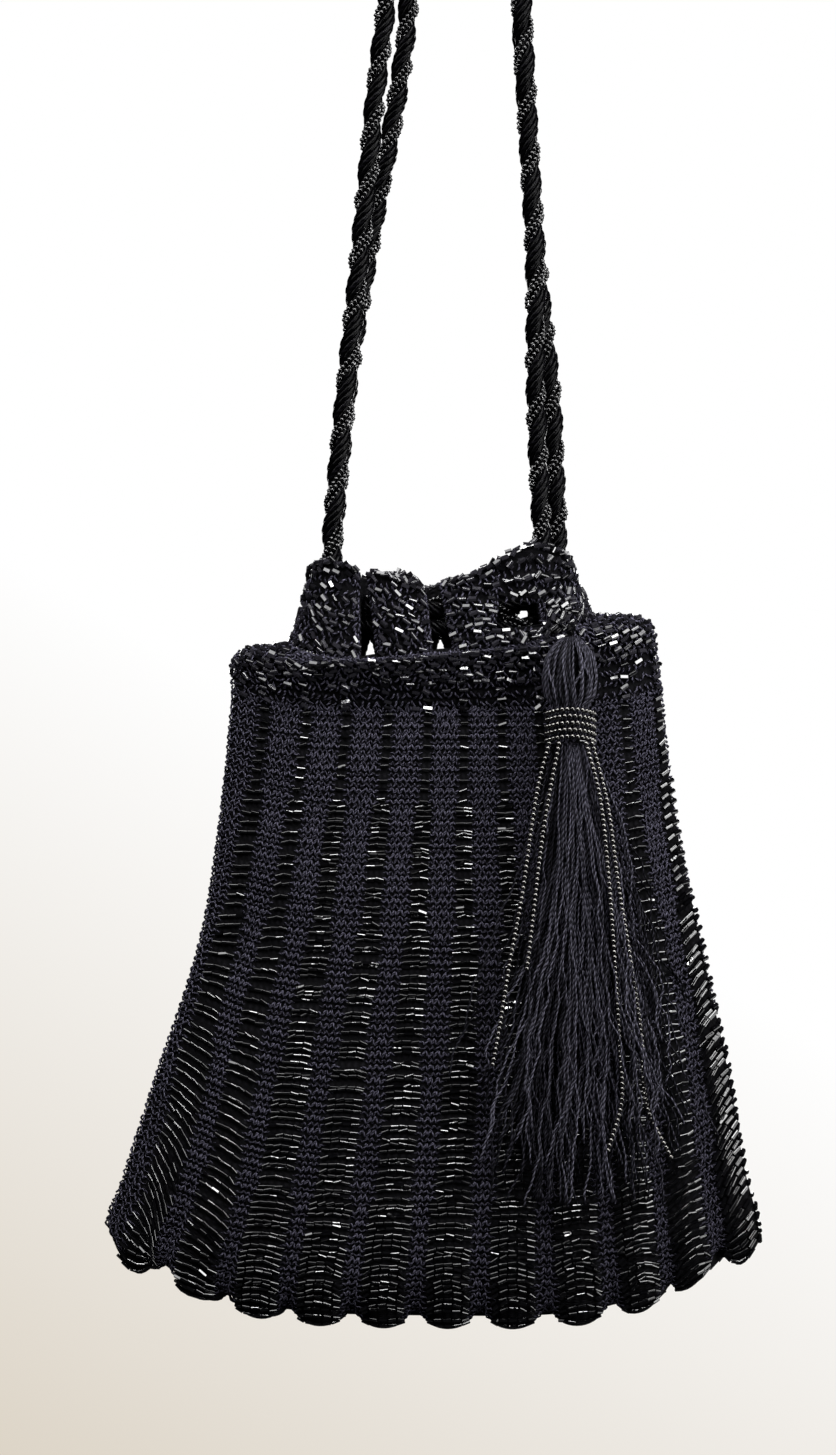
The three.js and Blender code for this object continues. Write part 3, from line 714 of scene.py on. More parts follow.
def rib_lines(rounds, columns, per_rib, height, lift, low, rng):
    """One line for each round: on each rib a pointed wave of the stitch width, height and lift above the
    surface, fading at the rib's edges; on each ladder a straight run behind the beads."""
    t = np.linspace(-1, 1, per_rib)
    columns = np.array(columns)
    before, after = (ladder_width((columns - k) % COLUMNS, rounds[:, None])[..., None] for k in (1, 0))
    rib = t * (1 - np.where(t < 0, before, after)) / 2
    f = np.concatenate([rib, (1 - after) / 2 + after * BEHIND_AT], -1)
    fade = np.concatenate([np.clip((1 - np.abs(t)) * 4, 0, 1), 0 * BEHIND_AT])
    each_rib = (len(rounds), len(columns), 1)
    share = column_share(columns[:, None] + f, levels[rounds][:, None, None])
    mm = f * column_width[rounds][:, None, None]
    phase = mm / STITCH_WIDTH + rng.normal(0, STITCH_DRIFT, each_rib)
    phase = phase + STITCH_WAVE * np.sin(mm * 1.7 + rng.uniform(0, 6.3, each_rib))
    tooth = 2 / np.pi * np.arcsin(0.97 * np.sin(2 * np.pi * phase))
    reach = height[:, None, None] * fade * rng.normal(1, STITCH_SPREAD, each_rib)
    point, out, _, fall = pouch.at(share, levels[rounds][:, None, None])
    rise = low + lift * fade * (1 - tooth**2) - np.concatenate([0 * t, np.full(len(BEHIND_AT), BEHIND)])
    line = point + fall * (reach * tooth)[..., None] + out * rise[..., None]
    return line.reshape(len(rounds), -1, 3), out.reshape(len(rounds), -1, 3)


# %% Zigzags and bumps
YARN_RADIUS = 0.35
RIB_TONE_DOWN, RIB_TONE, BUMP_TONE = (0, 0.6, 1), (0.58, 0.45, 0.3), 0.85
ZIGZAG_HEIGHT, BUMP_HEIGHT, BUMP_LOSS = 1.2, 1.1, 0.7  # bumps are lower and lose height towards the foot


def rib_pieces(side, columns, steps, sides, rng):
    """The tall zigzags of every other round, and the low bumps of the rounds between, paler at the top."""
    tall, short = np.arange(0, len(levels), 2), np.arange(1, len(levels), 2)
    tone = np.interp(levels, RIB_TONE_DOWN, RIB_TONE)
    high = np.full(len(tall), ZIGZAG_HEIGHT)
    line, out = rib_lines(tall, columns, steps, high, lift=0.75, low=-0.2, rng=rng)
    thread_piece(f"rib_zigzags_{side}", line, out, YARN_RADIUS, sides, KNIT_YARN, (), tone[tall])
    high, tone = BUMP_HEIGHT - BUMP_LOSS * levels[short], tone[short] * BUMP_TONE
    line, out = rib_lines(short, columns, steps, high, lift=0.9, low=-0.45, rng=rng)
    thread_piece(f"rib_bumps_{side}", line, out, YARN_RADIUS, 3, KNIT_YARN, (), tone)


rib_pieces("front", range(11), 25, 4, np.random.default_rng(21))
rib_pieces("back", range(11, 21), 17, 3, np.random.default_rng(22))

# %% [markdown]
# ## Bugle beads on the rungs
#
# A rung's beads lie end to end along the yarn. They bulge out between the ribs, their middle rides a
# little higher than their ends, and no two are quite in line, so that each catches the light at its
# own moment.


# %% Points of a rung
def joined(groups):
    """The arrays of several groups, joined kind by kind."""
    return [np.concatenate(kind) for kind in zip(*groups)]


def rung_point(column, across, width, level, arch, lift):
    """A point of a rung: the pouch's surface, lifted, with an arch that is highest mid-rung and a slope."""
    point, out, _, fall = pouch.at(column_share(column + 0.5 + across * width / 2, level), level)
    slip = rung_slope(column, level) * across * width / 2 * pouch.girth[-1] / COLUMNS
    slip = slip - arch * (1 - across**2)
    return point + out * lift[..., None] + fall * slip[..., None], out, fall


# %% Beads of some columns
BUGLE_RADIUS = 0.57
TOP_ARCH, MORE_ARCH, ARCH_SPREAD = 0.15, 1.9, 0.2  # rungs arch more towards the foot
FIRST_ARCH, SECOND_ARCH = 1.25, 0.7  # how much of that the two rungs of a pair arch
FOOT_ARCH_DOWN = (0.62, 0.86, 0.88, 1.0)  # near the foot they rise further, but not at the seam
FOOT_ARCH = table(
    "column rise",
    (0, 0), (1, 0.8), (2, 2.2), (5, 2.4), (7, 3.8), (9, 2.4), (10, 0), (11, 0), (12, 2.4), (19, 0.8), (20, 0),
)
SECOND_UP, SECOND_BACK_DOWN, SECOND_BACK = 0.22, (0.3, 0.6), (0.5, 0.2)  # where a pair's second rung lies
LEVEL_DRIFT, LIFT_DRIFT, ALONG_DRIFT, RUNG_TILT, BEAD_TILT = 0.0018, 0.08, 0.25, 0.07, 0.13
THICKER, FOLD_SINK, LONGEST = 1.3, 0.7, 1.35


def ladder_beads(columns, rounds, in_pairs, rng):
    """Centres, axes, outward directions, thickness and stretch of all the beads in some columns. Rungs come
    in pairs: the second lies close below the first and further back; where a rung has one bead there is none.
    Single rungs sink in where they turn round a fold, and longer beads fill those that run steeply."""
    found = []
    levels, count, _, beaded = rounds
    second = np.arange(len(levels)) % 2 * in_pairs
    for n in range(1, len(MORE_BEADS) + 2):
        chosen = np.flatnonzero((count == n) & ((n > 1) | (second == 0)))[:, None, None]
        is_second, down = second[chosen], levels[chosen]
        column = np.array(columns)[None, :, None]
        each_rung = (len(chosen), len(columns), 1)
        arch = (TOP_ARCH + MORE_ARCH * down**2) * np.clip((1 - down) * 10, 0, 1)
        arch = arch * np.where(is_second, SECOND_ARCH, FIRST_ARCH)
        more = np.interp(down, FOOT_ARCH_DOWN, (0, 1, 1, 0)) * rng.normal(1, ARCH_SPREAD, each_rung)
        arch = arch + more * np.interp(column, FOOT_ARCH["column"], FOOT_ARCH["rise"])
        level = (levels - SECOND_UP * second * np.gradient(levels))[chosen]
        level = level + rng.normal(0, LEVEL_DRIFT, each_rung)
        lift = BUGLE_RADIUS * 0.8 - is_second * np.interp(down, SECOND_BACK_DOWN, SECOND_BACK)
        lift = lift + rng.normal(0, LIFT_DRIFT, each_rung)
        width = beaded[chosen] / np.hypot(1, rung_slope(column, level))
        across = 2 * (np.arange(n) + 0.5) / n - 1
        across = across + rng.uniform(-ALONG_DRIFT, ALONG_DRIFT, each_rung) / n
        (start, _, _), (centre, out, fall), (end, _, _) = (
            rung_point(column, across + aside, width, level, arch, lift) for aside in (-1 / n, 0, 1 / n))
        tilt = rng.normal(0, RUNG_TILT, (*each_rung, 1)) + rng.normal(0, BEAD_TILT, centre.shape)
        axis = unit(end - start) + fall * tilt
        thick = np.where(np.isin(column, THICK), THICKER, 1.0) + 0 * across
        step = np.linalg.norm(end - start, axis=-1)
        stretch = np.ones_like(step) if in_pairs else np.clip(step / BEAD_PITCH, 1, LONGEST)
        sink = 0 if in_pairs else FOLD_SINK * np.clip(np.abs(out[..., :1]) * 4 - 3, 0, 1)
        parts = [centre - out * sink, axis, out, thick[..., None], stretch[..., None]]
        found.append([part.reshape(-1, part.shape[-1]) for part in parts])
    return joined(found)


# %% Bead ladders
BUGLE_LENGTH, LENGTH_SPREAD, RADIUS_SPREAD = 2.36, 0.04, 0.05


def ladder_piece(side, columns, rng):
    """All the bugle beads of one side, first those whose rungs lie in pairs."""
    paired = [column for column in columns if column not in SINGLE]
    single = [column for column in columns if column in SINGLE]
    centre, axis, out, thick, stretch = joined([ladder_beads(paired, paired_rounds, True, rng),
                                                ladder_beads(single, single_rounds, False, rng)])
    length = BUGLE_LENGTH * rng.normal(1, LENGTH_SPREAD, len(centre)) * stretch[:, 0]
    radius = BUGLE_RADIUS * rng.normal(1, RADIUS_SPREAD, len(centre)) * thick[:, 0]
    bead_piece(f"bead_ladders_{side}", centre, axis, out, length, radius, BUGLE, 6, rng, cut_share=0.08)
    print(len(centre), "bugle beads on the", side)


ladder_piece("front", range(11), np.random.default_rng(31))
ladder_piece("back", range(11, 21), np.random.default_rng(32))

# %% [markdown]
# ## The knitted ground
#
# Behind the yarn and the beads is the cloth itself, which is seen only between the rungs and inside
# the bag. It is a plain shell with the pouch's form: down its cavity, over its rim, and down its
# outside to the bottom seam, where the front meets the back. Its colour is painted shade: far darker
# than the yarn, as the shade that falls between the rungs and inside the bag.


# %% Ground finish
def ground_finish(name):
    """Knitting painted nearly black as the shade of its own beads: rows of small stitches on the map, in
    millimetres.
    """
    finish = Finish(name)
    across, down = finish.chart()
    stitches = (across * (1 / STITCH_WIDTH)).wave() * (down * (1 / RUNG_PITCHES[1])).wave()
    fuzz = finish.noise(1500.0)
    return finish.shine(
        # painted shade: far darker than the knitting yarn, for the shade between rungs, beads and stitches
        Base_Color=finish.mix(stitches * 0.7 + fuzz * 0.3, (0.001, 0.001, 0.0013), (0.0055, 0.0052, 0.0068)),
        Roughness=fuzz * 0.15 + 0.78,
        Normal=finish.bump(stitches + fuzz * 0.4, 0.8, 0.0004),
        Specular_IOR_Level=0.06,
    )


SHADED_GROUND = ground_finish("knit_ground_painted_shade")


# %% Faces of a grid
def grid_faces(rows, columns):
    """Four-cornered faces of a grid whose first index goes down and whose second goes round."""
    index = np.arange(rows * columns).reshape(rows, columns)
    beside = np.roll(index, -1, axis=1)
    return np.stack([index[:-1], index[1:], beside[1:], beside[:-1]], -1).reshape(-1, 4)


def grid_chart(rows, columns, width, height):
    """The map of those faces' corners when the grid's cells are width by height."""
    down, across = np.meshgrid(np.arange(rows - 1), np.arange(columns), indexing="ij")
    corners = [(down, across), (down + 1, across), (down + 1, across + 1), (down, across + 1)]
    return np.stack([np.stack([a * width, d * height], -1) for d, a in corners], 2).reshape(-1, 2)


# %% Pouch shell
WALL, SIDE_FOLD = 2.2, 4.6
CAVITY_END = 0.93
SHELL_PER_COLUMN, SHELL_ROWS, CAVITY_ROWS = 14, 72, 40
UNDER_YARN = 0.35  # how far the ground lies under the surface that yarn and beads follow
RIM_RISE, RIM_INSET = 3.0, 0.9  # how far the rim goes up and in, inside the band


def pouch_shell():
    """The cavity's rings from its floor up, then the outer rings from the rim down, closed at both ends by
    strips from front to back."""
    count = COLUMNS * SHELL_PER_COLUMN
    share = np.arange(count) / count
    within = section_at(POUCH, np.linspace(CAVITY_END, 0, CAVITY_ROWS) * (len(POUCH["sag"]) - 1))
    within["left_x"], within["right_x"] = within["left_x"] + SIDE_FOLD, within["right_x"] - SIDE_FOLD
    within["depth"] = np.maximum(within["depth"] - 2 * WALL, 1)
    outer, out, _, _ = pouch.at(share, np.linspace(0, 1, SHELL_ROWS)[:, None])
    inner = rings(within, share)[0]
    rim = (outer[:1] - out[:1] * RIM_INSET) + (0, 0, RIM_RISE)
    points = np.concatenate([inner, inner[-1:] + (0, 0, RIM_RISE), rim, outer - out * UNDER_YARN])
    walls = grid_faces(len(points), count)
    n = np.arange(1, count // 2 - 1)
    strip = np.stack([n, n + 1, count - n - 1, count - n], -1)
    tips = np.array([[0, 1, count - 1], [count // 2 - 1, count // 2, count // 2 + 1]])
    last = (len(points) - 1) * count
    caps = [strip, strip[:, ::-1] + last, np.concatenate([tips, tips[:, ::-1] + last])]
    chart = grid_chart(len(points), count, width=300 / count, height=2.4)
    make_piece("pouch_shell", points.reshape(-1, 3), [walls, *caps], SHADED_GROUND, ("pouch",), chart)


pouch_shell()

# %% [markdown]
# ## Beaded knitting of the band and the heading
#
# Above the ladders most stitches carry a bead, and the beads of each row sit over the gaps of the
# row below, like bricks. Short strokes of yarn show between them.

# %% Rows of beads on a surface
ROW_DRIFT, ROW_WAVER, BEAD_TURN, BEAD_LEAN = 0.1, 0.08, 0.24, 0.08
BEAD_OUT, BEAD_OUT_SPREAD = 0.62, 0.12


def bead_rows(skin, level, spacing, tilt, keep, rng, stacks=None):
    """Staggered rows: a bead at every spacing round the girth, turned by tilt(x) radians from level. Where
    stacks are given, each row has its beads at those shares of the girth instead."""
    girth = np.interp(level, np.linspace(0, 1, len(skin.girth)), skin.girth)
    count = int(round(girth.mean() / spacing))
    share = (np.arange(count) + 0.5 * (np.arange(len(level)) % 2)[:, None]) / count
    if stacks is not None:
        share = np.repeat(stacks[None], len(level), axis=0)
    share = share + rng.normal(0, ROW_DRIFT, share.shape) / count
    down = level[:, None] + rng.normal(0, ROW_WAVER, share.shape) * np.gradient(level)[:, None]
    point, out, run, fall = skin.at(share, down)
    angle = tilt(point[..., 0], share % 1) + rng.normal(0, BEAD_TURN, share.shape)
    lean = rng.normal(0, BEAD_LEAN, share.shape)
    axis = run * np.cos(angle)[..., None] + fall * np.sin(angle)[..., None] + out * lean[..., None]
    chosen = keep(point, share % 1, down)
    centre = point + out * rng.normal(BEAD_OUT, BEAD_OUT_SPREAD, share.shape)[..., None]
    return centre[chosen], axis[chosen], out[chosen]


# %% Yarn and cloth behind the beads
STROKE_STEP = np.array([-0.5, -0.2, 0.2, 0.5])[:, None]  # shares of a stroke's length
STROKE_LIFT = np.array([-0.45, 0.1, 0.1, -0.45])[:, None]  # how far it stands out there
STROKE_LENGTH, STROKE_SPREAD, STROKE_RADIUS = 1.9, 0.2, 0.38
CLOTH = 1.5  # thickness


def stitch_piece(name, centre, axis, out, length, tone):
    """Short arched strokes of yarn: each comes out of the cloth, runs along its axis and goes in again."""
    step = STROKE_STEP * length[:, None, None]
    lines = centre[:, None] + unit(axis)[:, None] * step + out[:, None] * STROKE_LIFT
    thread_piece(name, lines, out[:, None], STROKE_RADIUS, 3, KNIT_YARN, (), tone)


def cloth_piece(name, points, faces, chart, stands_for):
    """Cloth behind beads and yarn, painted dark as their shade, with its thickness on the inside."""
    cloth = make_piece(name, points.reshape(-1, 3), [faces], SHADED_GROUND, stands_for, chart)
    wall = cloth.modifiers.new("wall", "SOLIDIFY")
    wall.thickness, wall.offset = CLOTH * MM, -1


# %% Band surface
BAND_STEP = (BAND["depth"][-1] - POUCH["depth"][0]) / 2


def band_swell(share, place, points, section):
    """The foot of the band goes in to the depth of the pouch, by BAND_STEP at the middle of each side."""
    return -BAND_STEP * np.clip(place - 2, 0, 1) * np.abs(np.sin(2 * np.pi * share)), 0 * share + 0 * place


band = Skin(BAND, band_swell)

# %% Band cloth, beads and yarn
BRICK = 3.3  # one bead and the stitch beside it
BRICK_DOWN, BRICK_SHARE = (0, 0.35, 0.5, 0.72, 0.88), (0.5, 0.9, 0.9, 0.5, 0.05)  # stitches with a bead
SHOULDER_END = 1 / 3  # the place down the band where its shoulder turns into its face
FACE_ROWS = np.linspace(SHOULDER_END, 1, 9)[:-1] + 0.04
SHOULDER_ROWS = np.linspace(0, SHOULDER_END, 7)[:-1] + 0.02
RIM_ROWS, SEAM_ROW = np.array([0.16, 0.3]), 0.985
SHOULDER_MIDDLE, SHOULDER_HALF = -6, 44  # rows of the shoulder are kept further aside than this
STACKS_FROM, STACK_HALF = 0.6, 0.17  # the ladders run on from here; half a stack's width, in columns
BAND_TILT_X, BAND_TILT = (-70, -40, 0, 30, 60), (0.3, 0.15, 0.08, -0.05, -0.2)
BAND_BUGLE, BAND_RADIUS, BAND_SPREAD = 2.35, 0.72, 0.05
BAND_CUT, BAND_FACING = 0.55, (0.3, 0.6, 0.3, 0.3)  # the second share is for each of the four kinds of row
FACE_YARN, SHOULDER_YARN, YARN_SINK = 0.042, 0.028, 0.25  # how far the yarn lies below the beads, and deeper
YARN_TONES = 0.3, 0.9
BAND_GRID = 25, 168


def band_piece(rng):
    """The band's cloth, its yarn and its beads. The ladders run on up its lower half as stacks of single
    beads, with ever fewer beads between them. Rows of the shoulder are kept only where it is wide."""
    tilt = lambda x, share: np.interp(x, BAND_TILT_X, BAND_TILT)
    to_and_fro = lambda x, share: rng.choice((-1.0, 1.0), x.shape)
    everywhere = lambda point, share, down: np.ones(down.shape, bool)
    wide = lambda point, share, down: np.abs(point[..., 0] - SHOULDER_MIDDLE) > SHOULDER_HALF
    often = lambda down: rng.random(down.shape) < np.interp(down, BRICK_DOWN, BRICK_SHARE)
    aside = lambda place: np.abs((place - column_shift(place, 0)) % 1 - 0.5) > STACK_HALF
    bricks = lambda point, share, down: often(down) & (aside(share * COLUMNS) | (down < STACKS_FROM))
    at_rim = lambda point, share, down: ~wide(point, share, down) & often(down)
    stacks = column_share(np.arange(COLUMNS) + 0.5, 0)
    stacked_rows = FACE_ROWS[FACE_ROWS > STACKS_FROM]
    groups = [bead_rows(band, FACE_ROWS, BRICK, tilt, bricks, rng),
              bead_rows(band, stacked_rows, BRICK, tilt, everywhere, rng, stacks),
              bead_rows(band, SHOULDER_ROWS, BRICK, tilt, wide, rng),
              bead_rows(band, RIM_ROWS, BRICK, tilt, at_rim, rng)]
    facing = np.repeat(BAND_FACING, [len(group[0]) for group in groups])
    centre, axis, out = joined(groups)
    length = BAND_BUGLE * rng.normal(1, BAND_SPREAD, len(centre))
    radius = rng.normal(BAND_RADIUS, BAND_SPREAD, len(centre))
    bead_piece("band_beads", centre, axis, out, length, radius, BUGLE, 5, rng, BAND_CUT,
               finish=BAND_GLASS, facing=facing)
    rows = np.sort(np.concatenate([FACE_ROWS + FACE_YARN, SHOULDER_ROWS + SHOULDER_YARN, [SEAM_ROW]]))
    centre, axis, out = bead_rows(band, rows, BRICK / 2, to_and_fro, everywhere, rng)
    length = rng.normal(STROKE_LENGTH, STROKE_SPREAD, len(centre))
    tone = rng.uniform(*YARN_TONES, len(centre))
    stitch_piece("band_yarn", centre - out * YARN_SINK, axis, out, length, tone)
    down, share = (np.arange(steps) for steps in BAND_GRID)
    point, out, _, _ = band.at(share / len(share), down[:, None] / down[-1])
    cloth_piece("band_cloth", point - out * UNDER_YARN, grid_faces(*BAND_GRID),
                grid_chart(*BAND_GRID, width=1.8, height=1.1), ("bead_band",))


band_piece(np.random.default_rng(41))

# %% Heading surface
SLITS = table(
    "x top_x foot top foot_width top_width",
    (-27.0, -29.0, -216.2, -184.0, 4.2, 0.8),
    (-5.0, -9.6, -214.4, -184.0, 5.4, 2.6),
    (17.2, 17.2, -207.6, -199.2, 14.0, 11.0),
)
BACK_SLITS = table(
    "x top_x foot top foot_width top_width",
    (-26.9, -26.9, -216.2, -209.8, 3.4, 0.3),
    (-5.6, -5.6, -214.4, -209.6, 3.0, 0.3),
    (19.5, 19.5, -207.6, -200.4, 4.0, 3.0),
)
TOP_EDGE_RISE = np.array([-1.5, 2.4, 1.2, -2.2, -2.6, 2.0, 8.6, 5.2,
                          -1.6, 0.4, 1.0, 1.0, -1.2, 1.0, 0.6, 2.0])
PLEAT_DEPTH, PLEAT_WIDTH = 2.2, 4.5
NOTCH = table("depth width", (1.4, 2.6), (3.2, 3.0))  # where the two narrow slits reach the top edge
END_X, END_RUN, END_DRAWN = 26, 10, 2.0  # from here the right end is drawn in, ever more over the run


def heading_swell(share, place, points, section):
    """The strips are drawn in beside the two narrow slits, and so is the right end of the top edge, which
    rises and falls and is rounded off at the slits."""
    x = points[..., :1]
    drawn = np.exp(-(((x - SLITS["x"][:2]) / PLEAT_WIDTH) ** 2)).sum(-1)
    looped = np.concatenate([TOP_EDGE_RISE[-2:], TOP_EDGE_RISE, TOP_EDGE_RISE[:3]])
    rise = between(looped, share * len(TOP_EDGE_RISE) + 2)
    notch = (NOTCH["depth"] * np.exp(-(((x - SLITS["top_x"][:2]) / NOTCH["width"]) ** 2))).sum(-1)
    drawn_end = END_DRAWN * np.clip((x[..., 0] - END_X) / END_RUN, 0, 1) * np.clip(1 - place / 2.5, 0, 1)
    return -PLEAT_DEPTH * np.minimum(drawn, 1) - drawn_end, (notch - rise) * np.clip(1 - place, 0, 1)


heading = Skin(HEADING, heading_swell, 91)


def slit_at(slits, i, z):
    """The middle and the width of slit i at a height, and whether it is open there."""
    share = (z - slits["foot"][i]) / (slits["top"][i] - slits["foot"][i])
    middle, width = (slits[foot][i] + (slits[top][i] - slits[foot][i]) * np.clip(share, 0, 1)
                     for foot, top in (("x", "top_x"), ("foot_width", "top_width")))
    return middle, width, (share > 0) & (share < 1)


# %% Heading cloth, cut at the slits
SLIT_STEPS = 379  # places along half the girth, among which the slits' edges are found


def slit_shares(slits, downs, front):
    """For each slit and row, the shares of the girth at its two edges, on the front or on the back, and
    whether the slit is open there."""
    share = np.linspace(0 if front else 1, 0.5, SLIT_STEPS)
    point = heading.at(share, downs[:, None])[0]
    edges, opened = [], []
    for i, foot_x in enumerate(slits["x"]):
        z = point[np.arange(len(downs)), np.argmin(np.abs(point[..., 0] - foot_x), axis=1), 2]
        middle, width, is_open = slit_at(slits, i, z)
        opened.append(is_open)
        for sign in (-0.5, 0.5):
            aside = np.abs(point[..., 0] - (middle + sign * width)[:, None])
            edges.append(share[np.argmin(aside, axis=1)])
    return np.array(edges), np.array(opened)


def heading_cloth(rows=46, per_strip=14):
    """Six strips round the heading, with a column of faces between neighbours that is left out in a slit."""
    downs = np.linspace(0, 1, rows)
    front, front_open = slit_shares(SLITS, downs, True)
    back, back_open = slit_shares(BACK_SLITS, downs, False)
    starts = [back[0] - 1, front[1], front[3], front[5], back[4], back[2]]
    stops = [front[0], front[2], front[4], back[5], back[3], back[1]]
    sizes = [2 * per_strip, per_strip, per_strip, 2 * per_strip, per_strip, per_strip]
    strips = [a[:, None] + (b - a)[:, None] * np.linspace(0, 1, n) for a, b, n in zip(starts, stops, sizes)]
    share = np.concatenate(strips, axis=1)
    point, out, _, _ = heading.at(share, downs[:, None])
    columns = share.shape[1]
    faces = grid_faces(rows, columns).reshape(rows - 1, columns, 4)
    chart = grid_chart(rows, columns, width=1.5, height=0.55).reshape(rows - 1, columns, 8)
    kept = np.ones((rows - 1, columns), bool)
    for is_open, edge in zip([*front_open, *back_open[::-1]], np.cumsum(sizes) - 1):
        kept[:, edge] = ~is_open[1:]
    cloth_piece("heading_cloth", point - out * UNDER_YARN, faces[kept], chart[kept].reshape(-1, 2),
                ("gathered_heading",))


heading_cloth()

# %% Beside the slits
SLIT_MARGIN, EDGE_ASIDE, EDGE_HALF = 1.0, 0.006, 0.003  # the last two are shares of the girth


def clear_of_slits(point, share, down):
    """False in a slit and close to its edges."""
    clear = np.ones(down.shape, bool)
    for slits, here in ((SLITS, share < 0.5), (BACK_SLITS, share >= 0.5)):
        for i in range(len(slits["x"])):
            middle, width, inside = slit_at(slits, i, point[..., 2])
            aside = np.abs(point[..., 0] - middle)
            clear &= ~(here & inside & (aside < width / 2 + SLIT_MARGIN))
    return clear


def tab_edges(rng):
    """Stitches down both edges of the front slits: places, directions and outward directions."""
    downs = np.linspace(0.02, 0.98, 15)
    edges, _ = slit_shares(SLITS, downs, True)
    share = (edges + np.array([-1, 1] * 3)[:, None] * EDGE_ASIDE)[..., None]
    share = share + np.array([-EDGE_HALF, EDGE_HALF])
    point, out, run, fall = heading.at(share, downs[:, None])
    lean = np.array([-0.5, 0.5])[:, None] + rng.normal(0, 0.2, (*share.shape, 1))
    return [part.reshape(-1, 3) for part in (point, fall + run * lean, out)]


# %% Heading beads and yarn
TAB_TILT_X = (-50, -34, -28, -16, -8, 0, 12, 22, 40)
TAB_TILT = (0.65, 0.6, 0.5, 0.45, 0.3, 0.1, 0.05, -0.3, -0.5)
LOOSE_X, LOOSE = (10, 16, 36, 42), (0.0, 0.7, 0.7, 0.2)  # how far the beads lie from that tilt
OFTEN_X, OFTEN = (-36, -28, -26), (0.6, 0.7, 0.9)  # how many stitches have a bead
PILE_MIDDLE, PILE_HALF = 23.0, 10.0  # here a second layer lies on the first
ROUNDER_X = 23.0  # to the right of here fewer beads are cut, and fewer face the light
CUT_SHARES, FACING_SHARES = (0.25, 0.55), (0.08, 0.3)  # there, and elsewhere
ROW_PITCH, BEAD_STEP, EDGE_STEP, YARN_STEP = 2.05, 3.0, 2.5, 2.0
EDGE_ROWS = np.array([0.0, 0.02])
HEADING_BUGLE, HEADING_SPREAD = 2.3, 0.06
EDGE_TONES, HEADING_YARN_SINK = (0.5, 0.9), 0.2


def heading_pieces(rng):
    """Beads and yarn of the heading, with a closer row of beads along its top edge."""
    level, _ = heading.levels(0.2, ROW_PITCH)
    tab_tilt = lambda x, share: (np.interp(x, TAB_TILT_X, TAB_TILT) * np.where(share < 0.5, 1, -1)
                                 + rng.normal(0, 1, x.shape) * np.interp(x, LOOSE_X, LOOSE))
    edge_tilt = lambda x, share: rng.normal(0, 0.5, x.shape)
    to_and_fro = lambda x, share: rng.choice((-1.1, 1.1), x.shape)
    often = lambda x: rng.random(x.shape) < np.interp(x, OFTEN_X, OFTEN)
    strips = lambda point, share, down: clear_of_slits(point, share, down) & often(point[..., 0])
    piled = lambda point, share, down: (clear_of_slits(point, share, down) & (share < 0.5)
                                        & (np.abs(point[..., 0] - PILE_MIDDLE) < PILE_HALF))
    first = bead_rows(heading, level, BEAD_STEP, tab_tilt, strips, rng)
    second = bead_rows(heading, level, BEAD_STEP, tab_tilt, piled, rng)
    edge = bead_rows(heading, EDGE_ROWS, EDGE_STEP, edge_tilt, clear_of_slits, rng)
    second[0][:] += second[2] * rng.uniform(0.3, 1.2, (len(second[0]), 1))
    edge[0][:, 2] += rng.uniform(-0.2, 0.9, len(edge[0]))
    centre, axis, out = joined([first, second, edge])
    length = HEADING_BUGLE * rng.normal(1, HEADING_SPREAD, len(centre))
    radius = rng.normal(BAND_RADIUS, BAND_SPREAD, len(centre))
    rounder = centre[:, 0] > ROUNDER_X
    cut, facing = np.where(rounder, *CUT_SHARES), np.where(rounder, *FACING_SHARES)
    bead_piece("heading_beads", centre, axis, out, length, radius, BUGLE, 5, rng, cut,
               finish=BAND_GLASS, facing=facing)
    between_rows = level + np.gradient(level) / 2
    groups = [bead_rows(heading, between_rows, YARN_STEP, to_and_fro, clear_of_slits, rng), tab_edges(rng)]
    tone = np.concatenate([rng.uniform(*tones, len(group[0]))
                           for tones, group in zip((YARN_TONES, EDGE_TONES), groups)])
    centre, axis, out = joined(groups)
    length = rng.normal(STROKE_LENGTH, STROKE_SPREAD, len(centre))
    stitch_piece("heading_yarn", centre - out * HEADING_YARN_SINK, axis, out, length, tone)


heading_pieces(np.random.default_rng(51))

# %% [markdown]
# ## The tassel
#
# The tassel is a bundle of long two-ply threads. They are doubled over a short tie, so that they swell
# into a smooth head, then are bound at the neck by strings of seed beads and hang free below it, each
# with its own slight wave and its own length.

# %% Places of the tassel
TASSEL = np.array([32.4, -20.0, -210.0])  # the top of its head
HEAD = table(
    "below radius",
    (0, 2.4), (2, 5.0), (6, 7.6), (12, 8.6), (17, 8.0), (20, 6.0), (26, 5.9), (35, 5.8),
)
LOCK_TIPS = table(
    "aside below",
    (-24, 146), (-17, 156), (-12, 161), (-6, 163), (0, 166),
    (7, 165), (13, 161), (20, 155), (27, 152), (33, 144),
)

# %% Head
HEAD_LENGTH, HEAD_SWAY, HEAD_THREAD, HEAD_DEEP, HEAD_TONE = 30, 0.12, 0.36, 1.3, 0.9


def shade(deep):
    """Painted shade: how pale a thread is painted that lies so deep in the bundle, from 1 at the outside to
    0.
    """
    return (1 - deep) ** 1.9


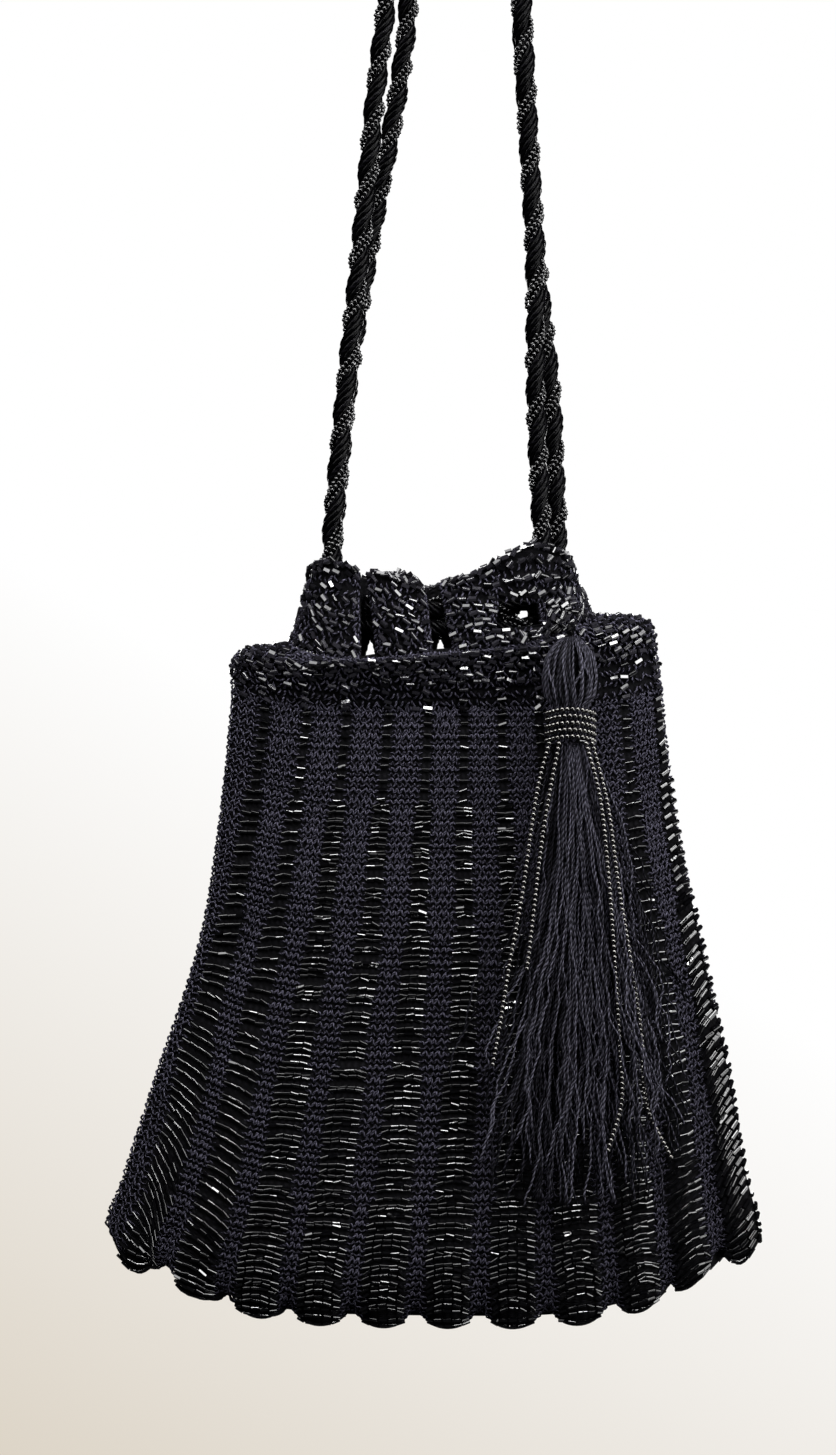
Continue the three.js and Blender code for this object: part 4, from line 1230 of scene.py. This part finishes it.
def tassel_head(rng, count=68, steps=22):
    """Threads down the head's outline: radius(below) round the middle line, thinner where they crowd. Some
    lie deeper than others, and are painted darker as their shade, and each sways a little to one side."""
    below = np.linspace(0, HEAD_LENGTH, steps)
    radius = np.interp(below, HEAD["below"], HEAD["radius"])
    angle = 2 * np.pi * np.arange(count)[:, None] / count
    sway = rng.normal(0, HEAD_SWAY, (count, 1))
    angle = angle + sway * np.sin(below / HEAD_LENGTH * np.pi * rng.uniform(1, 3, (count, 1)))
    thick = np.minimum(HEAD_THREAD, radius * np.pi / count)
    deep = rng.random((count, 1))
    inner = radius - thick - HEAD_DEEP * deep * np.sin(np.pi * below / HEAD_LENGTH) ** 0.5
    lines = TASSEL + np.stack([inner * np.cos(angle), inner * np.sin(angle), -below + 0 * angle], -1)
    up = np.stack([np.cos(angle), np.sin(angle), 0 * angle], -1)
    # deeper threads are painted darker, as painted shade
    thread_piece("tassel_head", lines, up, thick, 5, TASSEL_THREAD, ("tassel",),
                 HEAD_TONE * shade(deep[:, 0]))


tassel_head(np.random.default_rng(60))

# %% Skirt
SKIRT_THREADS, SKIRT_STEPS, SKIRT_THREAD = 215, 50, 0.35
SKIRT_TOP, SKIRT_FORWARD, SKIRT_TONE = 31.2, 1.5, 1.45
BUNCHES, PER_LOCK = 24, 2.2  # bunches of threads that sway together
TIP_SPREAD, STRAY_SHARE, STRAY_SPREAD = 1.8, 0.22, 6.0
OVER_SHARE, OVER_FORWARD = 0.14, 6.5  # threads that hang over the strings of beads
FRONT, DEPTH = 5.0, 10.0
CUT, CUT_SPREAD, SHORTEST, LONGEST_THREAD = -10, 13, 105, 166  # most threads end above their lock's tip
START_SHARE, START_SPREAD, START_HALF = 0.08, 2.0, 5.2
LEFT_POWER, RIGHT_POWER, POWER_SPREAD = 1.3, 0.95, 0.12
WAVES = ((1.5, 3.6, 0, 0), (0.7, 17, 1, 1), (0.35, 36, 0, 3))  # size, pace, and a thread's own pace and phase
STIR = 0.8


def skirt_lines(count, rng):
    """Each thread runs from the neck to its own tip near a lock's tip, spreading evenly as it falls:
    the share of the way from its start to its tip is t to a power, with slow waves that grow towards the
    free end. Threads lie in bunches that sway together; those further back are painted darker as their
    shade, and a few hang over the strings of beads."""
    t = np.linspace(0, 1, SKIRT_STEPS)
    number = np.arange(len(LOCK_TIPS["aside"]))
    lock = (np.arange(count) + rng.random(count)) / count * number[-1]
    bunch = np.round(lock * PER_LOCK).astype(int)
    aside = np.interp(0.5 * lock + 0.5 * bunch / PER_LOCK, number, LOCK_TIPS["aside"])
    aside = aside + rng.normal(0, TIP_SPREAD, count)
    aside = aside + np.where(rng.random(count) < STRAY_SHARE, rng.normal(0, STRAY_SPREAD, count), 0)
    over = rng.random(count) < OVER_SHARE
    deep = rng.random(count) * np.where(over, 0.2, 1)
    forward = FRONT - DEPTH * deep
    below = np.interp(lock, number, LOCK_TIPS["below"]) + rng.normal(CUT, CUT_SPREAD, count)
    below = np.clip(below, SHORTEST, LONGEST_THREAD)
    power = np.where(aside < 0, LEFT_POWER, RIGHT_POWER) + rng.normal(0, POWER_SPREAD, count)
    spread = t ** power[:, None]
    start = START_SHARE * aside + rng.normal(0, START_SPREAD, count)
    start = np.clip(start, -START_HALF, START_HALF)[:, None]
    phase = rng.uniform(0, 2 * np.pi, (4, count, 1))
    pace = rng.uniform(1.2, 3.2, (2, count, 1))
    each_bunch = lambda low, high: rng.uniform(low, high, BUNCHES)[bunch, None]
    bend, turn = each_bunch(0.3, 2.6), each_bunch(0, 2 * np.pi)
    sway = bend * np.sin(2 * np.pi * each_bunch(0.8, 2.2) * t + turn)
    for size, times, own_pace, own_phase in WAVES:
        sway = sway + size * np.sin(times * pace[own_pace] * t + phase[own_phase])
    stir = STIR * np.sin(2 * np.pi * pace[1] * t + phase[2])
    x = start * (1 - spread) + aside[:, None] * spread + sway * t**0.7
    y = SKIRT_FORWARD * t + forward[:, None] * (0.75 + 0.25 * t) + OVER_FORWARD * over[:, None] * t**0.6
    z = -(SKIRT_TOP + (below - SKIRT_TOP)[:, None] * t)
    # painted shade makes threads further back darker; the random factor is each thread's own tone
    tone = SKIRT_TONE * shade(deep) * rng.random(count) ** 1.1
    return TASSEL + np.stack([x, -(y + stir * t), z], -1), tone


lines, tone = skirt_lines(SKIRT_THREADS, np.random.default_rng(61))
thread_piece("tassel_skirt", lines, (0, -1, 0), SKIRT_THREAD, 3, TASSEL_THREAD, (), tone)

# %% [markdown]
# ## Seed beads of the tassel
#
# Five turns of seed beads bind the neck, and four strings of them hang down in front of the threads.

# %% Neck
NECK_RADIUS, NECK_TOP, NECK_TURNS, NECK_PITCH = 6.3, 20.6, 5, 2.0
NECK_BEADS, NECK_SAG, NECK_TILT = 29, 1.3, 0.08
TASSEL_SEED, TASSEL_SEED_LENGTH = 1.6, 1.35


def neck_beads(rng):
    """Rings of beads round the neck, each a bead's width below the last, sagging a little at the sides."""
    turn, place = np.meshgrid(np.arange(NECK_TURNS), np.arange(NECK_BEADS), indexing="ij")
    angle = 2 * np.pi * (place + 0.5 * (turn % 2)) / NECK_BEADS
    radius = NECK_RADIUS + TASSEL_SEED / 2
    below = NECK_TOP + (turn + 0.5) * NECK_PITCH + NECK_SAG * np.cos(angle) ** 2 - 0.5
    centre = TASSEL + np.stack([radius * np.cos(angle), radius * np.sin(angle), -below], -1)
    axis = np.stack([-np.sin(angle), np.cos(angle), 0 * angle], -1)
    axis = axis + rng.normal(0, NECK_TILT, axis.shape)
    out = np.stack([np.cos(angle), np.sin(angle), 0.3 + 0 * angle], -1)
    bead_piece("neck_bead_turns", *(part.reshape(-1, 3) for part in (centre, axis, out)),
               TASSEL_SEED_LENGTH, TASSEL_SEED / 2, ROUND_SEED, 8, rng,
               stands_for=("tassel_neck_beads",), finish=TASSEL_GLASS)


neck_beads(np.random.default_rng(71))

# %% Hanging strings
BEAD_STRINGS = {
    "bead_string_outer_left": [(-6.4, 5.0, 31.2), (-9.6, 7.6, 43), (-12, 8.5, 58), (-14.5, 8.5, 76),
                               (-18, 8.5, 95), (-21, 8.5, 114), (-23, 8.5, 125)],
    "bead_string_inner_left": [(-3.6, 7.0, 31.2), (-6.8, 8.2, 48), (-9.2, 8.5, 64), (-11, 8.5, 80),
                               (-13, 8.5, 97)],
    "bead_string_inner_right": [(4.4, 6.8, 31.2), (8.2, 8.2, 46), (10.6, 8.5, 67), (12.4, 8.5, 91),
                                (14, 8.5, 118), (14.6, 8.5, 136), (10.6, 8.5, 150)],
    "bead_string_outer_right": [(6.3, 4.8, 31.2), (10.6, 7.6, 49), (13.4, 8.5, 70), (17, 8.5, 93),
                                (20.4, 8.5, 116), (22, 8.5, 137), (29, 8.5, 152)],
}
STRING_PITCH, STRING_TILT, STRING_SPREAD = 1.55, 0.1, 0.03
STRING_UP = (0.2, -1.0, 0.1)  # a direction that no bead of the strings lies along


def hanging_string(name, places, rng):
    """Seed beads at even steps along a string's line."""
    aside, forward, below = np.array(places, float).T
    line = route_line(TASSEL + np.stack([aside, -forward, -below], -1), STRING_PITCH)
    axis = heads(line) + rng.normal(0, STRING_TILT, line.shape)
    up = np.broadcast_to(STRING_UP, line.shape)
    radius = rng.normal(TASSEL_SEED / 2, STRING_SPREAD, len(line))
    bead_piece(f"{name}_beads", line, axis, up, TASSEL_SEED_LENGTH, radius, ROUND_SEED, 8, rng,
               stands_for=(name,), finish=TASSEL_GLASS)


for number, (name, places) in enumerate(BEAD_STRINGS.items()):
    hanging_string(name, places, np.random.default_rng(81 + number))

# %% [markdown]
# ## The tassel's tie
#
# A short cord comes over the band's edge and holds the head of the tassel. Three threads twisted
# together are enough for it.

# %% Tie
TIE_ROUTE = [(33.6, -11.9, -207.6), (33.0, -15.5, -206.2), (32.6, -19.0, -207.0), (32.4, -20.5, -209.0)]
TIE_STEP, TIE_LAY, TIE_THREADS, TIE_RADIUS = 0.4, 5, 3, 0.5


def tassel_tie():
    """Threads wound round the tie's route: each is its own radius aside, and turns once in each lay."""
    line = route_line(TIE_ROUTE, TIE_STEP)
    up = steady_up(line, (1, 0, 0))
    side = unit(np.cross(heads(line), up))
    far = np.arange(len(line)) * TIE_STEP
    angle = 2 * np.pi * (np.arange(TIE_THREADS)[:, None] / TIE_THREADS - far / TIE_LAY)
    lines = line + TIE_RADIUS * (np.cos(angle)[..., None] * side + np.sin(angle)[..., None] * up)
    thread_piece("tassel_tie_threads", lines, up, TIE_RADIUS, 6, CORD_THREAD, ("tassel_tie",))


tassel_tie()

# %% [markdown]
# ## Light
#
# Jet shows only what it mirrors, so the lights are what make it sparkle: one large soft light above
# for a thin line on every bead, and smaller ones in front for the bright glints. The surroundings are
# pale where they are seen, with painted shade that turns them warm grey low down and to the left, and
# dim in the mirror images.

# %% Lamps
LIGHTS_AIM = (-0.01, 0.0, -0.25)
LAMPS = {  # each one's place, width and height, watts, and whether it makes glints but lights no threads
    "overhead": ((0.0, -0.55, 0.8), (1.6, 0.35), 10, False),
    "overhead_right": ((0.34, -0.55, 0.8), (0.3, 0.35), 7, False),
    "strip_left": ((-0.26, -0.95, 0.5), (0.07, 0.5), 6.5, False),
    "strip_right": ((0.2, -1.0, 0.45), (0.07, 0.4), 5.5, False),
    "front_right": ((0.95, -0.9, 0.1), (0.3, 0.4), 7, False),
    "side_right": ((1.1, -0.35, -0.45), (0.4, 0.5), 7, False),
    "arch_left": ((-0.85, -0.6, 0.55), (0.3, 0.6), 4, True),
    "arch_right": ((0.85, -0.6, 0.55), (0.5, 0.7), 7, True),
    "far_left": ((-1.05, -0.35, 0.45), (0.4, 0.5), 4, True),
    "rim_right": ((1.0, 0.35, -0.8), (0.7, 0.9), 4.5, True),
    "behind": ((0.0, 1.4, -0.1), (1.2, 0.5), 8, False),
}


def lamp(name, place, size, watts, glints_only):
    """A soft light, so wide and so tall, that faces the bag."""
    data = bpy.data.lights.new(name, "AREA")
    data.shape, data.energy = "RECTANGLE", watts
    data.size, data.size_y = size
    made = bpy.data.objects.new(name, data)
    made.location = place
    made.visible_camera, made.visible_diffuse = False, not glints_only
    away = np.array(place) - LIGHTS_AIM
    tip, swing = np.arctan2(np.hypot(away[0], away[1]), away[2]), np.arctan2(away[0], -away[1])
    made.rotation_euler = (tip, 0, swing)
    bpy.context.scene.collection.objects.link(made)


for name, facts in LAMPS.items():
    lamp(name, *facts)
print(len(LAMPS), "lamps")

# %% Surroundings
# Painted shade: the seen surroundings are warm grey low down and to the left, like the shaded foot of a wall,
# and white above
SEEN_SHADED, SEEN_HIGH, MIRRORED = (0.72, 0.66, 0.57), (1, 1, 1), (0.035, 0.035, 0.038, 1)
PALE_FROM, PALE_TO, PALE_SLANT = -0.26, -0.02, 0.6  # how far up it turns pale, and sooner to the right

world = bpy.data.worlds.new("surroundings")
bpy.context.scene.world = world
world.use_nodes = True
around = Nodes(world.node_tree)
way = around.node("ShaderNodeSeparateXYZ", None, {0: around.node("ShaderNodeTexCoord", output="Generated")})
height = {"Value": way * PALE_SLANT + way.other("Z"), "From Min": PALE_FROM, "From Max": PALE_TO}
paleness = around.mix(around.node("ShaderNodeMapRange", None, height), SEEN_SHADED, SEEN_HIGH)
seen = around.node("ShaderNodeBackground", None, {"Color": paleness})
mirrored = around.node("ShaderNodeBackground", None, {"Color": MIRRORED})
is_seen = around.node("ShaderNodeLightPath", output="Is Camera Ray")
choice = around.node("ShaderNodeMixShader", None, {0: is_seen, 1: mirrored, 2: seen})
around.feed(world.node_tree.nodes["World Output"], {"Surface": choice})
bpy.context.scene.view_settings.view_transform = "Standard"

# %% Floor
FLOOR_Z, FLOOR_RADIUS, FLOOR_SIDES = -1.1, 2.4, 64


def floor_finish():
    """A pale floor with faint clouds, which glows a little so that it is as light from every side."""
    finish = Finish("pale_floor")
    speck = finish.noise(3.0)
    pale = finish.mix(speck, (0.78, 0.765, 0.75), (0.82, 0.805, 0.79))
    return finish.shine(Base_Color=pale, Roughness=0.9, Emission_Color=pale, Emission_Strength=0.75)


turn = 2 * np.pi * np.arange(FLOOR_SIDES) / FLOOR_SIDES
rim = np.stack([np.cos(turn), np.sin(turn), 0 * turn], -1) * FLOOR_RADIUS + (0, 0, FLOOR_Z)
mesh = bpy.data.meshes.new("floor")
mesh.from_pydata(rim.tolist(), [], [list(range(FLOOR_SIDES))])
mesh.materials.append(floor_finish())
floor = bpy.data.objects.new("floor", mesh)
floor.visible_glossy = floor.visible_diffuse = False
bpy.context.scene.collection.objects.link(floor)

# %% [markdown]
# ## Measure
#
# The number of triangles in all is printed.

# %% Sizes
print(sum(triangle_counts.values()), "triangles in all")
